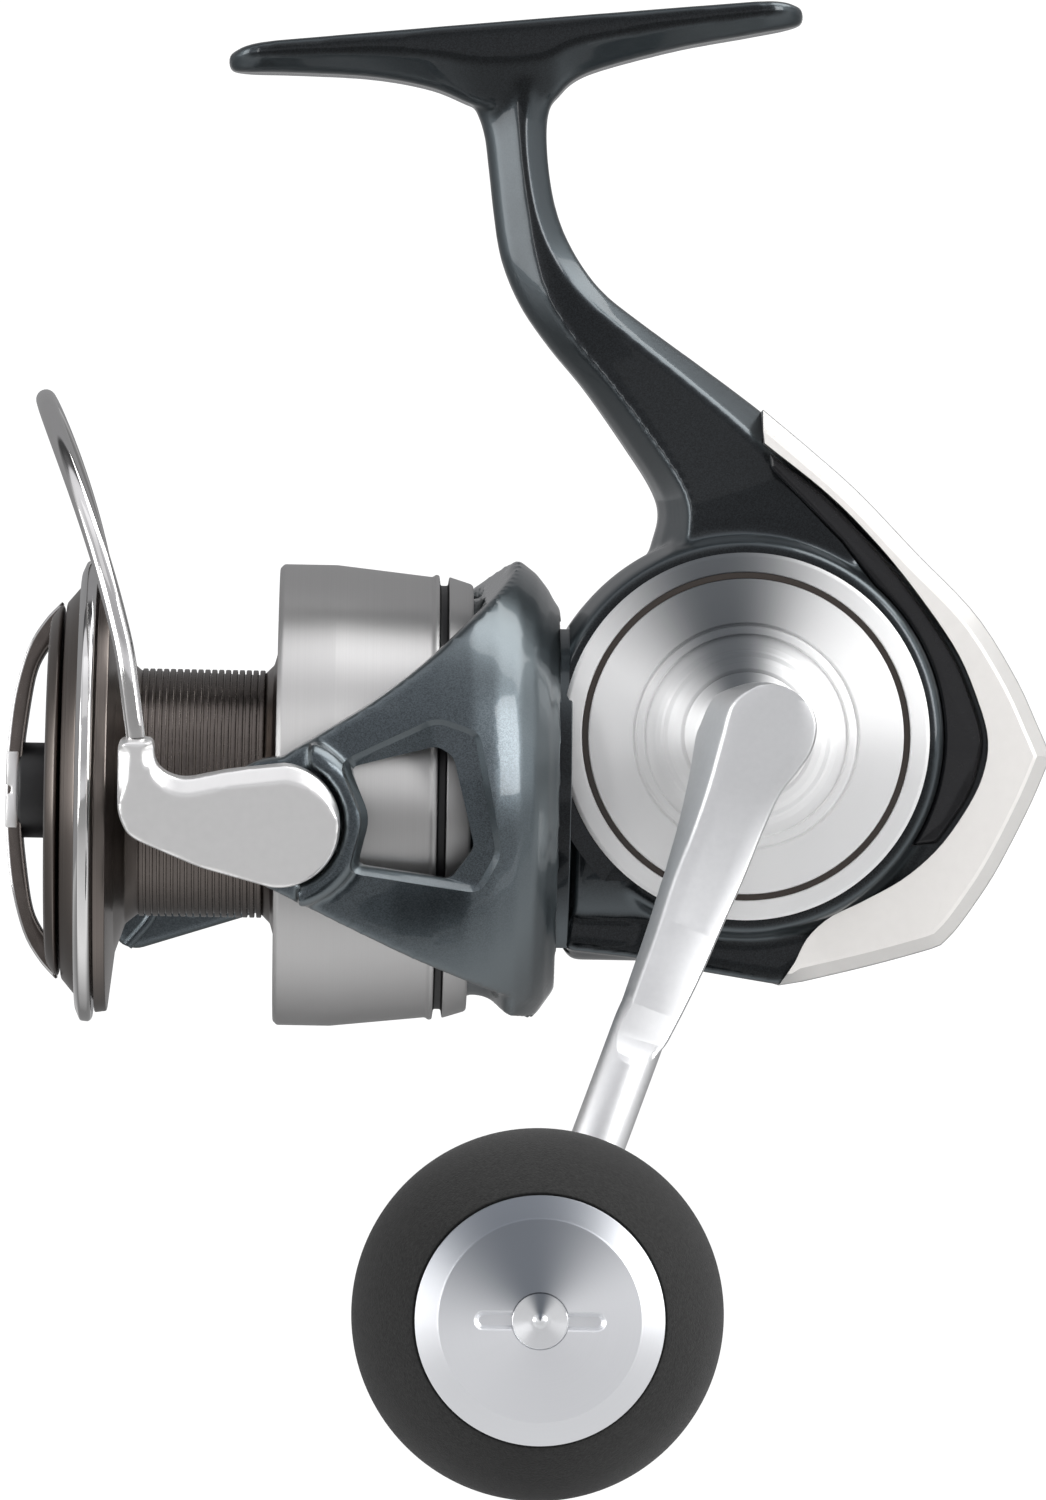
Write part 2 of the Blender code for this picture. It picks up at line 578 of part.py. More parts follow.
def carve_housing(drum):
    """Cut the gear room, the plate's opening, and the bearing seats, and add the inner pillars."""
    gear_room = turned("gear_room", [(-NEAR_FACE - 4.0 * MM, 0), (-NEAR_FACE - 4.0 * MM, RIM_RADIUS + GAP),
                                     (-NEAR_FACE - GAP / 2, RIM_RADIUS + GAP),
                                     (-NEAR_FACE - GAP / 2, PLATE_PLUG + GAP),
                                     (-NEAR_FACE + 4.4 * MM, PLATE_PLUG + GAP),
                                     (-NEAR_FACE + 4.4 * MM, CAVITY_RADIUS), (CAVITY_FAR, CAVITY_RADIUS),
                                     (CAVITY_FAR, FAR_BEARING + GAP),
                                     (CAVITY_FAR + BEARING_WIDTH + GAP, FAR_BEARING + GAP),
                                     (CAVITY_FAR + BEARING_WIDTH + GAP, AXLE_RADIUS + RUNNING_GAP),
                                     (FAR_FACE + GAP / 2, AXLE_RADIUS + RUNNING_GAP),
                                     (FAR_FACE + GAP / 2, FAR_CAP + 3 * GAP),
                                     (FAR_FACE + 4.0 * MM, FAR_CAP + 3 * GAP),
                                     (FAR_FACE + 4.0 * MM, 0)], reel, "Y", None, ROUND)
    rear = WIND_REACH + WIND_TIP + RUNNING_GAP
    low = -WIND_DROP - WIND_TIP - RUNNING_GAP
    high = -WIND_DROP + WIND_TIP + RUNNING_GAP
    wind_room = plate("wind_room", [(0, high), (rear - 6.0 * MM, high), (rear, high - 6.0 * MM),
                                    (rear, low + 6.0 * MM), (rear - 6.0 * MM, low), (0, low)],
                      -4.0 * MM, CAVITY_FAR - GAP, reel, None)
    seat = PINION_BEARING + GAP
    shoulder = NOSE_FRONT + BEARING_WIDTH
    bore = turned("pinion_bore", [(COLLAR_FRONT - 2.0 * MM, 0), (COLLAR_FRONT - 2.0 * MM,
                                                                 COLLAR_RADIUS - 2.1 * MM),
                                  (NOSE_FRONT, COLLAR_RADIUS - 2.1 * MM), (NOSE_FRONT, seat),
                                  (shoulder, seat), (shoulder, PINION_TIP + GAP),
                                  (-CAVITY_RADIUS / 2, PINION_TIP + GAP), (-CAVITY_RADIUS / 2, 0)],
                  spool_line, "X", None)
    slider_room = plate("slider_room", [(0, SLIDER_LOW - RUNNING_GAP), (SHAFT_REAR + RUNNING_GAP,
                                                                        SLIDER_LOW - RUNNING_GAP),
                                        (SHAFT_REAR + RUNNING_GAP, SLIDER_HIGH + RUNNING_GAP),
                                        (0, SLIDER_HIGH + RUNNING_GAP)],
                        -SHAFT_RADIUS - 2 * RUNNING_GAP, WIND_NEAR, reel, None)
    combine(drum, "DIFFERENCE", gear_room, wind_room, slider_room, bore)
    cradle_rear = -AXLE_RADIUS - GAP
    cradle = plate("cradle_form", [(cradle_rear, -1.9 * MM), (cradle_rear - 3.0 * MM, -1.9 * MM),
                                   (cradle_rear - 3.0 * MM, -CAVITY_RADIUS - 1.0 * MM),
                                   (cradle_rear, -CAVITY_RADIUS - 1.0 * MM)],
                   -2.6 * MM, WIND_NEAR - GAP, reel, None)
    post = rod("wind_post", WIND_NEAR - GAP, CAVITY_FAR + EDGE, ROD_RADIUS * 2, reel, "Y", None,
               SMALL_ROUND, (WIND_REACH, 0, -WIND_DROP))
    cradle_bore = rod("cradle_bore", cradle_rear + 1.0 * MM, cradle_rear - 4.0 * MM,
                      PINION_JOURNAL + RUNNING_GAP * 2, spool_line, "X", None)
    rod_bore = rod("rod_bore", cradle_rear + 1.0 * MM, cradle_rear - 4.0 * MM, ROD_RADIUS + GAP, reel,
                   "X", None, 12, (0, ROD_SIDE, -ROD_DROP))
    combine(cradle, "DIFFERENCE", cradle_bore, rod_bore)
    combine(drum, "UNION", cradle, post)


def cover_outline(inset):
    """The rear cover's side outline with its outer edge drawn in, for the chamfer."""
    outer = grown(COVER_OUTLINE, -inset)[1:len(COVER_OUTER) - 1]
    (start_x, start_z), (end_x, end_z) = COVER_OUTER[0], COVER_OUTER[-1]
    return [(start_x, start_z - inset), *outer, (end_x, end_z + inset / 2), *COVER_INNER]


def build_covers():
    """The side plate, rear cover, side inlays and far cap that close the housing."""
    seat = DRIVE_BEARING + GAP
    bearing_end = NEAR_FACE - BEARING_WIDTH
    face = [(-NEAR_FACE - GAP, PLATE_RADIUS), (-PLATE_FACE + EDGE, PLATE_RADIUS),
            (-PLATE_FACE, PLATE_RADIUS - EDGE), (-PLATE_FACE, PLATE_GROOVE + EDGE),
            (-PLATE_FACE + EDGE, PLATE_GROOVE), (-PLATE_FACE, PLATE_GROOVE - EDGE),
            (-PLATE_FACE - EDGE, PLATE_STEP + EDGE), (-PLATE_FACE, PLATE_STEP),
            (-PLATE_FACE - 2 * EDGE, PLATE_STEP - EDGE), (-PLATE_FACE - 3 * EDGE, BOSS_RADIUS),
            (-BOSS_FACE + EDGE, BOSS_RADIUS - 1.8 * MM), (-BOSS_FACE, BOSS_RADIUS - 2.4 * MM)]
    back = [(-BOSS_FACE, HUB_RADIUS + RUNNING_GAP), (-NEAR_FACE - GAP, HUB_RADIUS + RUNNING_GAP),
            (-NEAR_FACE - GAP, seat), (-bearing_end + GAP, seat), (-bearing_end + GAP, seat + 1.6 * MM),
            (-NEAR_FACE + 1.2 * MM, seat + 1.6 * MM), (-NEAR_FACE + 1.2 * MM, PLATE_PLUG - 2.0 * MM),
            (-NEAR_FACE + 4.1 * MM, PLATE_PLUG - 2.0 * MM), (-NEAR_FACE + 4.1 * MM, PLATE_PLUG),
            (-NEAR_FACE - GAP, PLATE_PLUG)]
    turned("engine_plate", face + back, reel, "Y", TURNED, ROUND)
    shoulder = COVER_HALF - COVER_CHAMFER
    levels = [(-COVER_HALF, COVER_CHAMFER), (-shoulder, 0), (shoulder, 0), (COVER_HALF, COVER_CHAMFER)]
    cover = loft("rear_cover", [[(x, y, z) for x, z in cover_outline(inset)] for y, inset in levels], reel,
                 PEARL)
    combine(cover, "DIFFERENCE", bpy.data.objects["wind_room"], bpy.data.objects["slider_room"])
    plate("rear_inlay_near", INLAY_OUTLINE, -INLAY_FACE, -INLAY_FACE + INLAY_THICK, reel, GLOSS_BLACK)
    plate("rear_inlay_far", INLAY_OUTLINE, INLAY_FACE - INLAY_THICK, INLAY_FACE, reel, GLOSS_BLACK)
    turned("far_side_cap", [(FAR_FACE + GAP, 0), (FAR_FACE + GAP, FAR_CAP), (FAR_FACE + 1.6 * MM, FAR_CAP),
                            (FAR_FACE + 2.6 * MM, FAR_CAP - 1.2 * MM), (FAR_FACE + 2.6 * MM, 0)],
           reel, "Y", SATIN)


def build_bearings():
    """The bearings and the roller clutch that stay in the housing, and the slider's guide rod."""
    bearing("drive_bearing_near", -NEAR_FACE, HUB_RADIUS + GAP, reel, "Y")
    bearing("drive_bearing_far", CAVITY_FAR, AXLE_RADIUS + GAP, reel, "Y")
    bearing("pinion_bearing_front", NOSE_FRONT, PINION_JOURNAL + GAP, spool_line, "X")
    rear = -AXLE_RADIUS - GAP
    ring("pinion_bush_rear", rear, rear - 3.0 * MM, SHAFT_RADIUS + RUNNING_GAP + GAP + 0.4 * MM,
         PINION_JOURNAL + RUNNING_GAP * 2 - GAP, spool_line, "X", BRASS)
    sleeve = PINION_JOURNAL + BEARING_RING
    ring("one_way_clutch", NOSE_FRONT - GAP, COLLAR_FRONT + GAP, sleeve + RUNNING_GAP,
         COLLAR_RADIUS - 2.1 * MM - GAP, spool_line, "X", STEEL)
    ring("clutch_retainer", COLLAR_FRONT - GAP, COLLAR_FRONT - GAP - 0.8 * MM, sleeve + RUNNING_GAP,
         COLLAR_RADIUS - EDGE, spool_line, "X", SATIN)
    ring("clutch_sleeve", NOSE_FRONT - GAP, COLLAR_FRONT - GAP, PINION_JOURNAL + GAP, sleeve,
         rotor_joint, "X", STEEL)
    rod("guide_rod", rear - 3.0 * MM, WIND_REACH + WIND_TIP - RUNNING_GAP, ROD_RADIUS,
        reel, "X", STEEL, 12, (0, ROD_SIDE, -ROD_DROP))


def pinion_radius(angle):
    """The pinion tooth's radius at angles counted from a tooth's middle line."""
    part = np.abs((angle * PINION_TEETH / (2 * math.pi) + 0.5) % 1 - 0.5)
    flank = np.clip((part - CREST) / (FLANK_END - CREST), 0, 1)
    return PINION_TIP + (PINION_ROOT - PINION_TIP) * flank


# The pinion meshes at GEAR_MID. The tooth's slant follows the sliding of one surface on the other.
MESH_PLACE = -math.sqrt(GEAR_MID ** 2 - AXIS_DROP ** 2)
RATIO = GEAR_TEETH / PINION_TEETH
SLANT = (RATIO * PINION_PITCH + MESH_PLACE) / AXIS_DROP
TWIST = -SLANT / PINION_PITCH


def build_pinion():
    """The hollow pinion: slanted teeth behind a plain tube that carries the clutch and rotor."""
    half = (GEAR_OUTER - GEAR_INNER) / 2 + 1.0 * MM
    front = MESH_PLACE - half
    rear = MESH_PLACE + half
    pitch = 2 * math.pi / PINION_TEETH
    shape = [(-CREST, PINION_TIP), (CREST, PINION_TIP), (FLANK_END, PINION_ROOT),
             (1 - FLANK_END, PINION_ROOT)]
    sections = []
    for x in np.linspace(front, rear, 4):
        turn = TWIST * (x - MESH_PLACE)
        angles = [(turn + pitch * (tooth + part), radius) for tooth in range(PINION_TEETH) for part,
                  radius in shape]
        sections.append([(x, radius * math.cos(angle), radius * math.sin(angle)) for angle, radius in angles])
    pinion = loft("pinion_gear", sections, rotor_joint, BRASS)
    shoulder = NOSE_FRONT + BEARING_WIDTH + GAP
    tail = -AXLE_RADIUS - GAP
    tube_form = turned("pinion_tube", [(NUT_FRONT - EDGE, 0), (NUT_FRONT - EDGE, PINION_JOURNAL),
                                       (shoulder, PINION_JOURNAL), (front + EDGE, PINION_ROOT),
                                       (rear - EDGE, PINION_ROOT),
                                       (rear - EDGE, SHAFT_RADIUS + RUNNING_GAP + 0.4 * MM),
                                       (tail, SHAFT_RADIUS + RUNNING_GAP + 0.4 * MM), (tail, 0)],
                       rotor_joint, "X", None)
    bore = rod("pinion_hole", NUT_FRONT - 5.0 * MM, 0, SHAFT_RADIUS + RUNNING_GAP / 2, rotor_joint, "X", None)
    combine(pinion, "UNION", tube_form)
    combine(pinion, "DIFFERENCE", bore)


def path_depths(radius, parts):
    """How deep the pinion's path through the mesh reaches over face gear points at one radius."""
    middle = math.atan2(-AXIS_DROP, MESH_PLACE)
    depths = np.linspace(PINION_TIP, 0.5 * PINION_ROOT, 120)
    crank = np.linspace(-0.55, 0.55, 900)[:, None]
    found = []
    for part in parts:
        x = radius * np.cos(middle + part - crank)
        z = radius * np.sin(middle + part - crank) + AXIS_DROP
        turn = ROTOR_REST - RATIO * crank + TWIST * (x - MESH_PLACE)
        inside = np.hypot(z, depths) < pinion_radius(np.arctan2(z, -depths) - turn)
        first = np.where(inside.any(axis=1), depths[inside.argmax(axis=1)], 0)
        found.append(first.max() + BACKLASH)
    return np.clip(found, GEAR_TIP, GEAR_ROOT)


def face_tooth(radius):
    """One tooth space of the face gear as (angle, depth): the narrowest that clears the pinion's path."""
    count = 48
    pitch = 2 * math.pi / GEAR_TEETH
    share = np.arange(count) / count
    depth = path_depths(radius, share * pitch)
    pull = (depth - GEAR_TIP) @ np.exp(2j * math.pi * share)
    centre = np.angle(pull) / (2 * math.pi)
    away = np.abs((share - centre + 0.5) % 1 - 0.5)
    crest = 0.40
    tip = depth[away >= crest].max()
    root = depth.max()
    for half in np.arange(0.12, crest - 0.04, 0.01):
        flank = (away > half) & (away < crest)
        line = root + (tip - root) * (away[flank] - half) / (crest - half)
        if (line >= depth[flank]).all():
            break
    shape = [(-half, root), (half, root), (crest, tip), (1 - crest, tip)]
    return [(pitch * (centre + part), down) for part, down in shape]


def spiral_turn(radius):
    """How far a tooth of the face gear runs round between its inner end and a radius."""
    middle = math.atan2(-AXIS_DROP, MESH_PLACE)
    along = np.array([-1, -SLANT])
    outward = np.array([math.cos(middle), math.sin(middle)])
    around = np.array([-math.sin(middle), math.cos(middle)])
    return (along @ around) / (along @ outward) * math.log(radius / GEAR_INNER)


def build_crank_gear():
    """The crank's face gear with its two journals, its teeth shaped by the pinion's path."""
    middle = math.atan2(-AXIS_DROP, MESH_PLACE)
    pitch = 2 * math.pi / GEAR_TEETH
    rows = []
    start = None
    for radius in (GEAR_INNER, GEAR_OUTER):
        tooth = face_tooth(radius)
        if start is None:
            start = tooth[0][0]
        skip = pitch * round((start + spiral_turn(radius) - tooth[0][0]) / pitch)
        rows.append([(radius * math.cos(middle + angle + skip + pitch * i), -depth,
                      radius * math.sin(middle + angle + skip + pitch * i))
                     for i in range(GEAR_TEETH) for angle, depth in tooth])
    outer = [(x, -GEAR_BACK, z) for x, _, z in rows[-1]]
    inner = [(x, -GEAR_ROOT - GAP, z) for x, _, z in rows[0]]
    gear = loft("drive_gear", [inner, *rows, outer], crank_joint, BRASS)
    web = GEAR_BACK - 1.9 * MM
    recess = turned("gear_recess", [(-web, 0), (-web, GEAR_INNER - 0.9 * MM), (0, GEAR_INNER - 0.9 * MM),
                                    (0, 0)], crank_joint, "Y", None)
    journals = turned("gear_journals", [(-BOSS_FACE + EDGE, 0), (-BOSS_FACE + EDGE, HUB_RADIUS),
                                        (-web, HUB_RADIUS), (-web, AXLE_RADIUS),
                                        (CAVITY_FAR + BEARING_WIDTH, AXLE_RADIUS),
                                        (CAVITY_FAR + BEARING_WIDTH, 0)], crank_joint, "Y", None)
    hole = rod("gear_hole", -BOSS_FACE - 4.0 * MM, -GEAR_BACK + 1.0 * MM, CRANK_SCREW + GAP, crank_joint,
               "Y", None)
    combine(gear, "DIFFERENCE", recess)
    combine(gear, "UNION", journals)
    combine(gear, "DIFFERENCE", hole)


def build_cross_wind():
    """The gear pair, the slider and the main shaft that move the spool to and fro."""
    toward = math.atan2(-WIND_DROP, WIND_REACH)
    drive = plate("wind_drive_gear", spur_outline(WIND_DRIVE_TEETH, WIND_MODULE, toward), WIND_NEAR,
                  WIND_NEAR + WIND_THICK, crank_joint, BRASS)
    combine(drive, "DIFFERENCE", rod("wind_drive_hole", 0, CAVITY_FAR, AXLE_RADIUS + GAP, crank_joint, "Y",
                                     None))
    half_tooth = math.pi / WIND_TEETH
    wheel = plate("cross_wind_gear", spur_outline(WIND_TEETH, WIND_MODULE, toward + math.pi + half_tooth),
                  WIND_NEAR, WIND_NEAR + WIND_THICK, wind_joint, NYLON)
    pin = rod("wind_pin", WIND_NEAR - EDGE, WIND_NEAR + EDGE, WIND_PIN, wind_joint, "Y", None, SMALL_ROUND,
              (STROKE / 2, 0, 0))
    hole = rod("wind_hole", 0, CAVITY_FAR, ROD_RADIUS * 2 + GAP, wind_joint, "Y", None)
    combine(wheel, "UNION", pin)
    combine(wheel, "DIFFERENCE", hole)

    near = -SHAFT_RADIUS - RUNNING_GAP
    far = WIND_NEAR - EDGE - GAP
    front = SLIDER_REST - SLIDER_LENGTH / 2
    rear = SLIDER_REST + SLIDER_LENGTH / 2
    slider = plate("slider_block", [(front, SLIDER_LOW), (rear, SLIDER_LOW), (rear, SLIDER_HIGH),
                                    (front, SLIDER_HIGH)],
                   near, far, frame("slider_frame", slide_joint, (0, 0, AXIS_DROP)), NYLON)
    wall = 1.2 * MM
    slot_front = SLIDER_REST - WIND_PIN - GAP
    slot_rear = SLIDER_REST + WIND_PIN + GAP
    slot = plate("slider_slot", [(slot_front, SLIDER_LOW + wall), (slot_rear, SLIDER_LOW + wall),
                                 (slot_rear, SLIDER_HIGH - wall), (slot_front, SLIDER_HIGH - wall)],
                 SHAFT_RADIUS + RUNNING_GAP, far + 1.0 * MM, reel, None)
    shaft_hole = rod("slider_hole", front - 1.0 * MM, rear + 1.0 * MM, SHAFT_RADIUS + GAP, spool_line, "X",
                     None)
    rod_hole = rod("slider_rod_hole", front - 1.0 * MM, rear + 1.0 * MM, ROD_RADIUS + GAP, reel, "X", None,
                   12, (0, ROD_SIDE, -ROD_DROP))
    combine(slider, "DIFFERENCE", slot, shaft_hole, rod_hole)
    front_end = SPOOL_FRONT - KNOB_HEIGHT + 1.8 * MM
    rod("main_shaft", front_end, SHAFT_REAR, SHAFT_RADIUS, slide_joint, "X", STEEL)


def build_rotor():
    """The rotor: a cup inside the spool's skirt, a flared rim, and two arms cut from one shell."""
    rim = CUP_RADIUS + FLARE_HEIGHT
    flare = [(ROTOR_REAR, CUP_RADIUS - 1.1 * MM), (ROTOR_REAR - 2.3 * MM, rim - 2.6 * MM),
             (ROTOR_REAR - 5.0 * MM, rim), (ROTOR_REAR - 6.0 * MM, rim - 0.6 * MM),
             (ROTOR_REAR - 7.6 * MM, CUP_RADIUS + 0.8 * MM), (ROTOR_REAR - 9.5 * MM, CUP_RADIUS)]
    inner = CUP_RADIUS - CUP_WALL
    web_front = HUB_FRONT + EDGE
    hub = PINION_JOURNAL + 3.4 * MM
    bore = PINION_JOURNAL + GAP
    inside = [(CUP_FRONT, CUP_RADIUS), (CUP_FRONT, inner), (web_front, inner), (web_front, hub),
              (HUB_FRONT, hub), (HUB_FRONT, bore), (HUB_REAR, bore), (HUB_REAR, hub), (WEB_REAR, hub),
              (WEB_REAR, inner), (ROTOR_REAR, inner)]
    rotor = turned("rotor", flare + inside, rotor_joint, "X", SLATE, ROUND)

    tip = PIVOT_PLACE - ARM_TIP
    shell = turned("arm_shell", [(ROTOR_REAR - 1.0 * MM, CUP_RADIUS - 1.0 * MM),
                                 (ROTOR_REAR - 2.6 * MM, rim - 3.0 * MM),
                                 (ROTOR_REAR - 5.0 * MM, rim - 0.2 * MM),
                                 (ROTOR_REAR - 9.0 * MM, ARM_OUTER - 1.2 * MM),
                                 (ROTOR_REAR - 19.0 * MM, ARM_OUTER), (tip - 1.0 * MM, ARM_OUTER),
                                 (tip - 1.0 * MM, ARM_INNER), (SKIRT_REAR - 2.4 * MM, ARM_INNER),
                                 (SKIRT_REAR + 1.6 * MM, ARM_INNER - 0.5 * MM),
                                 (ROTOR_REAR - 7.0 * MM, CUP_RADIUS + 0.4 * MM),
                                 (ROTOR_REAR - 6.0 * MM, CUP_RADIUS - 1.0 * MM)],
                   rotor_joint, "X", None, ROUND)
    # The arms' side outline: a hollow upper edge and a straight lower edge that meet round the pivot
    root = ROTOR_REAR - 3.4 * MM
    upper = [(root - 1.6 * MM, rim * 0.98), (root - 7.5 * MM, rim * 0.80), (root - 13.2 * MM, rim * 0.617),
             (root - 18.5 * MM, rim * 0.482), (root - 23.4 * MM, rim * 0.383)]
    outline = [(root, -rim * 0.865), (root, rim * 0.98), *upper, *arc(PIVOT_PLACE, 0, ARM_TIP, 80, 248, 10)]
    mask = plate("arm_outline", outline, -ARM_OUTER - 2.0 * MM, ARM_OUTER + 2.0 * MM, rotor_joint, None)
    combine(shell, "INTERSECT", mask)
    middle = (ROTOR_REAR + PIVOT_PLACE) / 2 - 0.7 * MM
    hole = [(middle - 7.3 * MM, 6.3 * MM), (middle + 2.3 * MM, 8.8 * MM), (middle + 3.4 * MM, 8.3 * MM),
            (middle + 6.9 * MM, -3.4 * MM), (middle + 5.0 * MM, -6.5 * MM), (middle - 6.2 * MM, -4.8 * MM),
            (middle - 5.4 * MM, -0.8 * MM)]
    window = plate("arm_window", hole, -ARM_OUTER - 2.0 * MM, -CUP_RADIUS - 1.0 * MM, rotor_joint, None)
    room = plate("spring_room", spring_well(GAP), ARM_INNER + SPRING_FLOOR, ARM_OUTER + 2.0 * MM, rotor_joint,
                 None)
    sink = -ARM_INNER - PIVOT_HEAD_THICK - 2 * GAP
    past = ARM_OUTER + 2.0 * MM
    pivots = turned("pivot_holes", [(-past, 0), (-past, PIVOT_RADIUS + GAP), (sink, PIVOT_RADIUS + GAP),
                                    (sink, PIVOT_HEAD + GAP), (0, PIVOT_HEAD + GAP), (0, PIVOT_RADIUS + GAP),
                                    (past, PIVOT_RADIUS + GAP), (past, 0)],
                    rotor_joint, "Y", None, SMALL_ROUND, (PIVOT_PLACE, 0, 0))
    combine(rotor, "UNION", shell)
    combine(rotor, "DIFFERENCE", window, room, pivots)
    turned("rotor_nut", [(HUB_FRONT - GAP, bore), (HUB_FRONT - GAP, hub), (NUT_FRONT, hub),
                         (NUT_FRONT, bore)],
           rotor_joint, "X", SATIN)


def spring_well(clearance):
    """The side outline of the spring's well in the far arm."""
    start = PIVOT_PLACE + ARM_TIP + 2.0 * MM - clearance
    end = PIVOT_PLACE + ARM_TIP + SPRING_LENGTH + 4.0 * MM + clearance
    half = 3.0 * MM + clearance
    return [(start, -half), (end, -half), (end, half), (start, half)]


def build_arm_cover():
    """The bail spring in the far arm, and the plate that covers it."""
    start = PIVOT_PLACE + ARM_TIP + 3.0 * MM
    middle = (ARM_INNER + SPRING_FLOOR + ARM_OUTER) / 2 + GAP / 2
    points = []
    for i in range(SPRING_TURNS * SPRING_SIDES + 1):
        turn = 2 * math.pi * i / SPRING_SIDES
        along = SPRING_LENGTH * i / (SPRING_TURNS * SPRING_SIDES)
        points.append((start + along, middle + SPRING_COIL * math.cos(turn), SPRING_COIL * math.sin(turn)))
    tube("bail_spring", points, SPRING_WIRE, rotor_joint, STEEL, 0)
    low = ARM_OUTER + GAP
    plate("arm_cover", spring_well(SPRING_COVER), low, low + SPRING_COVER, rotor_joint, SLATE)


def roller_axis():
    """The line roller's middle, its axis and the direction across it, in the bail's XZ plane."""
    centre = np.array([-ROLLER_AHEAD, -ROLLER_DROP])
    down = np.array([math.sin(ROLLER_LEAN), -math.cos(ROLLER_LEAN)])
    across = np.array([math.cos(ROLLER_LEAN), math.sin(ROLLER_LEAN)])
    return centre, down, across


def build_bail():
    """The bail: the near lever and its blind pivot, the wire, and the far arm with its line roller."""
    tip = -LEVER_REACH
    top = 9.8 * MM
    lever = [*arc(0, 0, LEVER_END, 90, -92, 10), (tip + 1.6 * MM, -1.4 * MM), (tip - 0.6 * MM, -0.4 * MM),
             (tip - 1.7 * MM, 1.5 * MM), (tip - 1.7 * MM, top), (tip + 2.1 * MM, top),
             (tip + 2.6 * MM, 7.6 * MM),
             (tip + 3.9 * MM, 5.9 * MM), (tip + 6.4 * MM, 5.5 * MM), (-5.4 * MM, 6.4 * MM)]
    lever_face = LEVER_INNER + LEVER_THICK
    near = plate("bail_lever", lever, -lever_face, -LEVER_INNER, bail_joint, SATIN, EDGE)
    blind = -lever_face + 1.2 * MM
    screw_hole = rod("lever_hole", blind - GAP, -LEVER_INNER + 1.0 * MM, PIVOT_RADIUS + GAP, bail_joint, "Y",
                     None)
    combine(near, "DIFFERENCE", screw_hole)
    build_roller_arm()
    build_bail_wire(tip, top)

    head = -ARM_INNER - GAP
    under = head - PIVOT_HEAD_THICK
    turned("pivot_screw_near", [(head, 0), (head, PIVOT_HEAD), (under, PIVOT_HEAD), (under, PIVOT_RADIUS),
                                (blind, PIVOT_RADIUS), (blind, 0)],
           rotor_joint, "Y", SATIN, SMALL_ROUND, (PIVOT_PLACE, 0, 0))
    start = ARM_INNER + EDGE
    outer = lever_face + GAP
    head = lever_face + 1.0 * MM
    turned("pivot_screw_far", [(start, 0), (start, PIVOT_RADIUS), (outer, PIVOT_RADIUS),
                               (outer, PIVOT_RADIUS + 1.8 * MM), (head, PIVOT_RADIUS + 1.4 * MM), (head, 0)],
           rotor_joint, "Y", SATIN, SMALL_ROUND, (PIVOT_PLACE, 0, 0))


def build_roller_arm():
    """The far arm with its broad foot, and the line roller on its pin under the wire's cone."""
    centre, down, across = roller_axis()
    half = ROLLER_WIDTH / 2
    wide = ROLLER_RADIUS
    end = half + GAP
    shoulder = (end + ARM_FOOT) / 2
    tail = [centre + across * ARM_FOOT_BEHIND + down * ARM_FOOT,
            centre - across * ARM_FOOT_AHEAD + down * ARM_FOOT,
            centre - across * ARM_FOOT_AHEAD + down * shoulder,
            centre - across * wide + down * end,
            centre + across * (wide + GAP * 3) + down * end]
    outline = [*arc(0, 0, LEVER_END, 150, -70, 10), *[tuple(corner) for corner in tail]]
    far = plate("bail_arm", outline, LEVER_INNER, LEVER_INNER + LEVER_THICK, bail_joint, SLATE, EDGE)
    far_hole = rod("arm_hole", LEVER_INNER - 1.0 * MM, LEVER_INNER + LEVER_THICK + 1.0 * MM,
                   PIVOT_RADIUS + GAP, bail_joint, "Y", None)
    roller_seat = frame("roller_seat", bail_joint, (centre[0], LEVER_MID, centre[1]),
                        (0, math.pi / 2 - ROLLER_LEAN, 0))
    roller = frame("roller_joint", roller_seat)
    pin_hole = rod("arm_pin_hole", half, half + 6.0 * MM, ROLLER_PIN + GAP, roller_seat, "X", None)
    combine(far, "DIFFERENCE", far_hole, pin_hole)

    inner = ROLLER_PIN + GAP
    mid = inner + (ROLLER_RADIUS - inner) * 0.45
    turned("line_roller", [(-half, mid + GAP), (-half, wide), (-half * 0.55, wide), (0, wide - 0.7 * MM),
                           (half * 0.55, wide), (half, wide), (half, mid + GAP)], roller, "X", CHROME)
    ring("roller_bearing", -half + GAP, half - GAP, inner, mid, roller, "X", STEEL)
    pin_end = half + 4.6 * MM
    turned("roller_pin", [(-end, 0), (-end, ROLLER_PIN), (pin_end, ROLLER_PIN), (pin_end, 0)],
           roller_seat, "X", STEEL)
    cone_base = -end - GAP
    cone_top = cone_base - CONE_LENGTH
    turned("wire_cone", [(cone_top, 0), (cone_top, WIRE_RADIUS + GAP),
                         (cone_base - 1.2 * MM, wide - 0.3 * MM),
                         (cone_base, wide - 0.6 * MM), (cone_base, 0)], roller_seat, "X", CHROME)


def build_bail_wire(tip, top):
    """The wire, bowed over the spool from the near lever's stub to the cone by the roller."""
    centre, down, _ = roller_axis()
    last = centre - down * (ROLLER_WIDTH / 2 + CONE_LENGTH + 3 * GAP)
    rise = BAIL_HEIGHT - WIRE_SHOULDER
    points = [(tip + 0.2 * MM, -LEVER_MID, top + GAP)]
    for i in range(WIRE_STEPS + 1):
        share = i / WIRE_STEPS
        turn = math.pi * share
        x = tip - 0.4 * MM - 4.0 * MM * share - 9.3 * MM * abs(math.sin(turn)) ** 1.5
        points.append((x, -LEVER_MID * math.cos(turn), WIRE_SHOULDER + rise * math.sin(turn)))
    points.append((last[0], LEVER_MID, last[1]))
    tube("bail_wire", points, WIRE_RADIUS, bail_joint, CHROME, 2)


